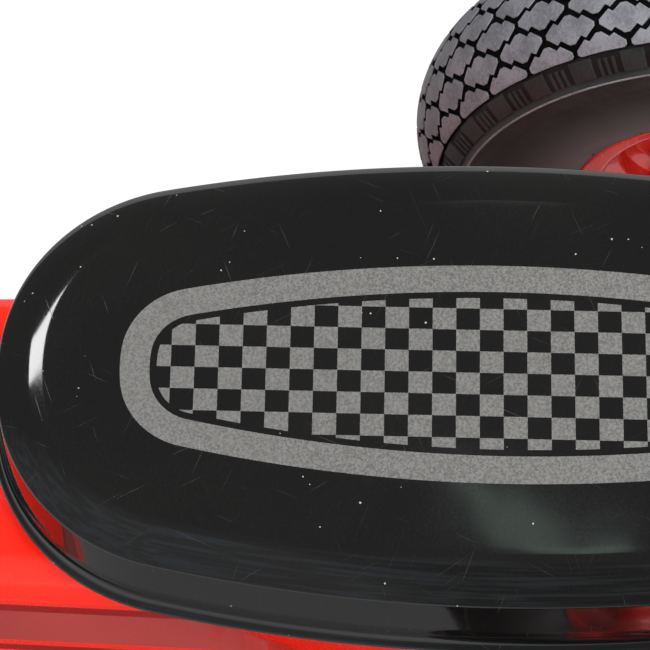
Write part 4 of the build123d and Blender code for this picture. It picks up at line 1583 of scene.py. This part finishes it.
@dataclass(frozen=True)
class Patch:
    """A pale patch of the ceiling. Metres, degrees about the vertical, and how much of it shows."""

    x: float
    y: float
    turn: float
    half_along: float
    half_across: float
    depth: float

    def mark(self, net: Net, bent: Socket) -> Socket:
        """Marks the patch, streaked and with soft edges.

        Args:
            net: The node tree it goes in.
            bent: The ceiling's coordinates, bent by noise.

        Returns:
            How much of the patch is at each place.
        """
        thick, off = 3.0, 0.04
        middle = (self.x + off, self.y + off, thick)
        around = net.turned(bent, math.radians(self.turn), (self.half_along, self.half_across, thick), middle)
        reach = net.add("ShaderNodeVectorMath", {0: around}, operation="LENGTH").outputs["Value"]
        streak = net.span(net.noise(bent, 26.0, 1.0), 0.35, 0.65, 0.6, 1.0)
        return net.maths("MULTIPLY", net.span(reach, 0.35, 1.0, self.depth, 0.0), streak)


@dataclass(frozen=True)
class Ceiling:
    """The dim ceiling and walls that the glossy cover shows above the white floor. Metres."""

    rings: tuple[tuple[float, float], ...] = ((3.4, 0.35), (3.2, 1.4), (2.4, 2.5), (0.9, 3.0), (0.0, 3.05))
    middle_y: float = -0.3
    segments: int = 24
    cloud_tint: Colour = (0.7, 0.84, 1.0, 1.0)
    patch_tint: Colour = (0.72, 1.0, 0.84, 1.0)
    patch_strength: float = 1.9
    patches: tuple[Patch, ...] = (
        Patch(-1.09, -0.19, 53.0, 0.17, 0.034, 1.0),
        Patch(-1.04, -0.10, 35.0, 0.05, 0.042, 1.0),
        Patch(-1.515, -0.21, 90.0, 0.11, 0.045, 0.35),
    )

    def build(self) -> None:
        """Hangs the ceiling, which only glossy surfaces show."""
        mesh = bpy.data.meshes.new("ceiling")
        turns = np.linspace(0, FULL_TURN, self.segments, endpoint=False)
        rows = []
        for reach, height in self.rings:
            x, y = reach * np.cos(turns), reach * np.sin(turns) + self.middle_y
            rows.append(np.stack([x, y, np.full(self.segments, height)], 1))
        faces = grid_faces(len(rows), self.segments, close_columns=True)
        mesh.from_pydata(np.concatenate(rows).tolist(), [], faces)
        mesh.shade_smooth()
        mesh.materials.append(self.material())
        ceiling = placed("ceiling", mesh)
        for kind in ("camera", "shadow", "diffuse", "transmission"):
            setattr(ceiling, f"visible_{kind}", False)

    def material(self) -> bpy.types.Material:
        """Builds the glow: dim, with bluish clouds to the right and pale patches to the left.

        Returns:
            The material.
        """
        material = bpy.data.materials.new("dim_ceiling")
        net = emptied(material)
        place = net.add("ShaderNodeTexCoord").outputs["Object"]
        parts = net.add("ShaderNodeSeparateXYZ", {"Vector": place}).outputs
        beside = net.span(parts["Y"], -0.68, -0.3, 0.44, 0.17)
        strength = net.span(parts["X"], -0.85, 0.4, 0.25, beside)
        cloud = net.span(net.noise(place, 4.5, 1.0), 0.42, 0.68, 0.0, 1.0)
        cloud = net.maths("MULTIPLY", net.span(parts["X"], -0.75, 0.1, 0.0, 0.34), cloud)
        strength = net.maths("ADD", strength, cloud)
        bent = net.bent(place, 7.0, 0.08, 1.0)
        total = None
        for patch in self.patches:
            mark = patch.mark(net, bent)
            total = mark if total is None else net.maths("MAXIMUM", total, mark)
        colour = net.blend(net.maths("MULTIPLY", cloud, 2.6), WHITE, self.cloud_tint)
        colour = net.blend(total, colour, self.patch_tint)
        strength = net.maths("ADD", strength, net.maths("MULTIPLY", total, self.patch_strength))
        glow = net.add("ShaderNodeEmission", {"Color": colour, "Strength": strength})
        net.add("ShaderNodeOutputMaterial", {"Surface": glow.outputs[0]})
        return material


@dataclass(frozen=True)
class Softbox:
    """A rectangular light. Metres, watts, and degrees about its own axis."""

    name: str
    place: Point
    aim: Point
    width: float
    height: float
    power: float
    roll: float = 0.0
    mirrored: bool = True

    def build(self) -> None:
        """Adds the light."""
        data = bpy.data.lights.new(self.name, "AREA")
        data.shape = "RECTANGLE"
        data.size, data.size_y = self.width, self.height
        data.energy = self.power
        light = placed(self.name, data)
        light.location = self.place
        light.rotation_mode = "QUATERNION"
        facing = (Vector(self.aim) - Vector(self.place)).to_track_quat("-Z", "Y")
        light.rotation_quaternion = facing @ Quaternion((0.0, 0.0, 1.0), math.radians(self.roll))
        light.visible_glossy = self.mirrored


@dataclass(frozen=True)
class Studio:
    """The camera, the background, the floor and the lights."""

    softboxes: tuple[Softbox, ...] = (
        Softbox("rear_softbox", (-0.9, 1.3, 1.9), (0.0, -0.4, 0.1), 1.0, 1.0, 80.0),
        Softbox("small_softbox", (-0.905, -1.13, 1.88), (0.0, -0.54, 0.17), 0.6, 0.2, 7.5, roll=-30.8),
        Softbox("side_softbox", (1.25, -0.15, 2.3), (0.0, -0.35, 0.1), 1.2, 1.2, 56.0, mirrored=False),
    )

    def build(self) -> None:
        """Builds the studio."""
        for part in (Camera(), Ambient(), Floor(), Ceiling(), *self.softboxes):
            part.build()


def main() -> None:
    """Builds the scene."""
    logging.basicConfig(level=logging.INFO, format="%(name)s: %(message)s")
    bpy.context.scene.view_settings.view_transform = "Standard"
    for part in (Studio(), Chassis(), NoseCover(), NoseHull(), Welds(), *map(Wheel, Side)):
        part.build()


if __name__ == "__main__":
    main()
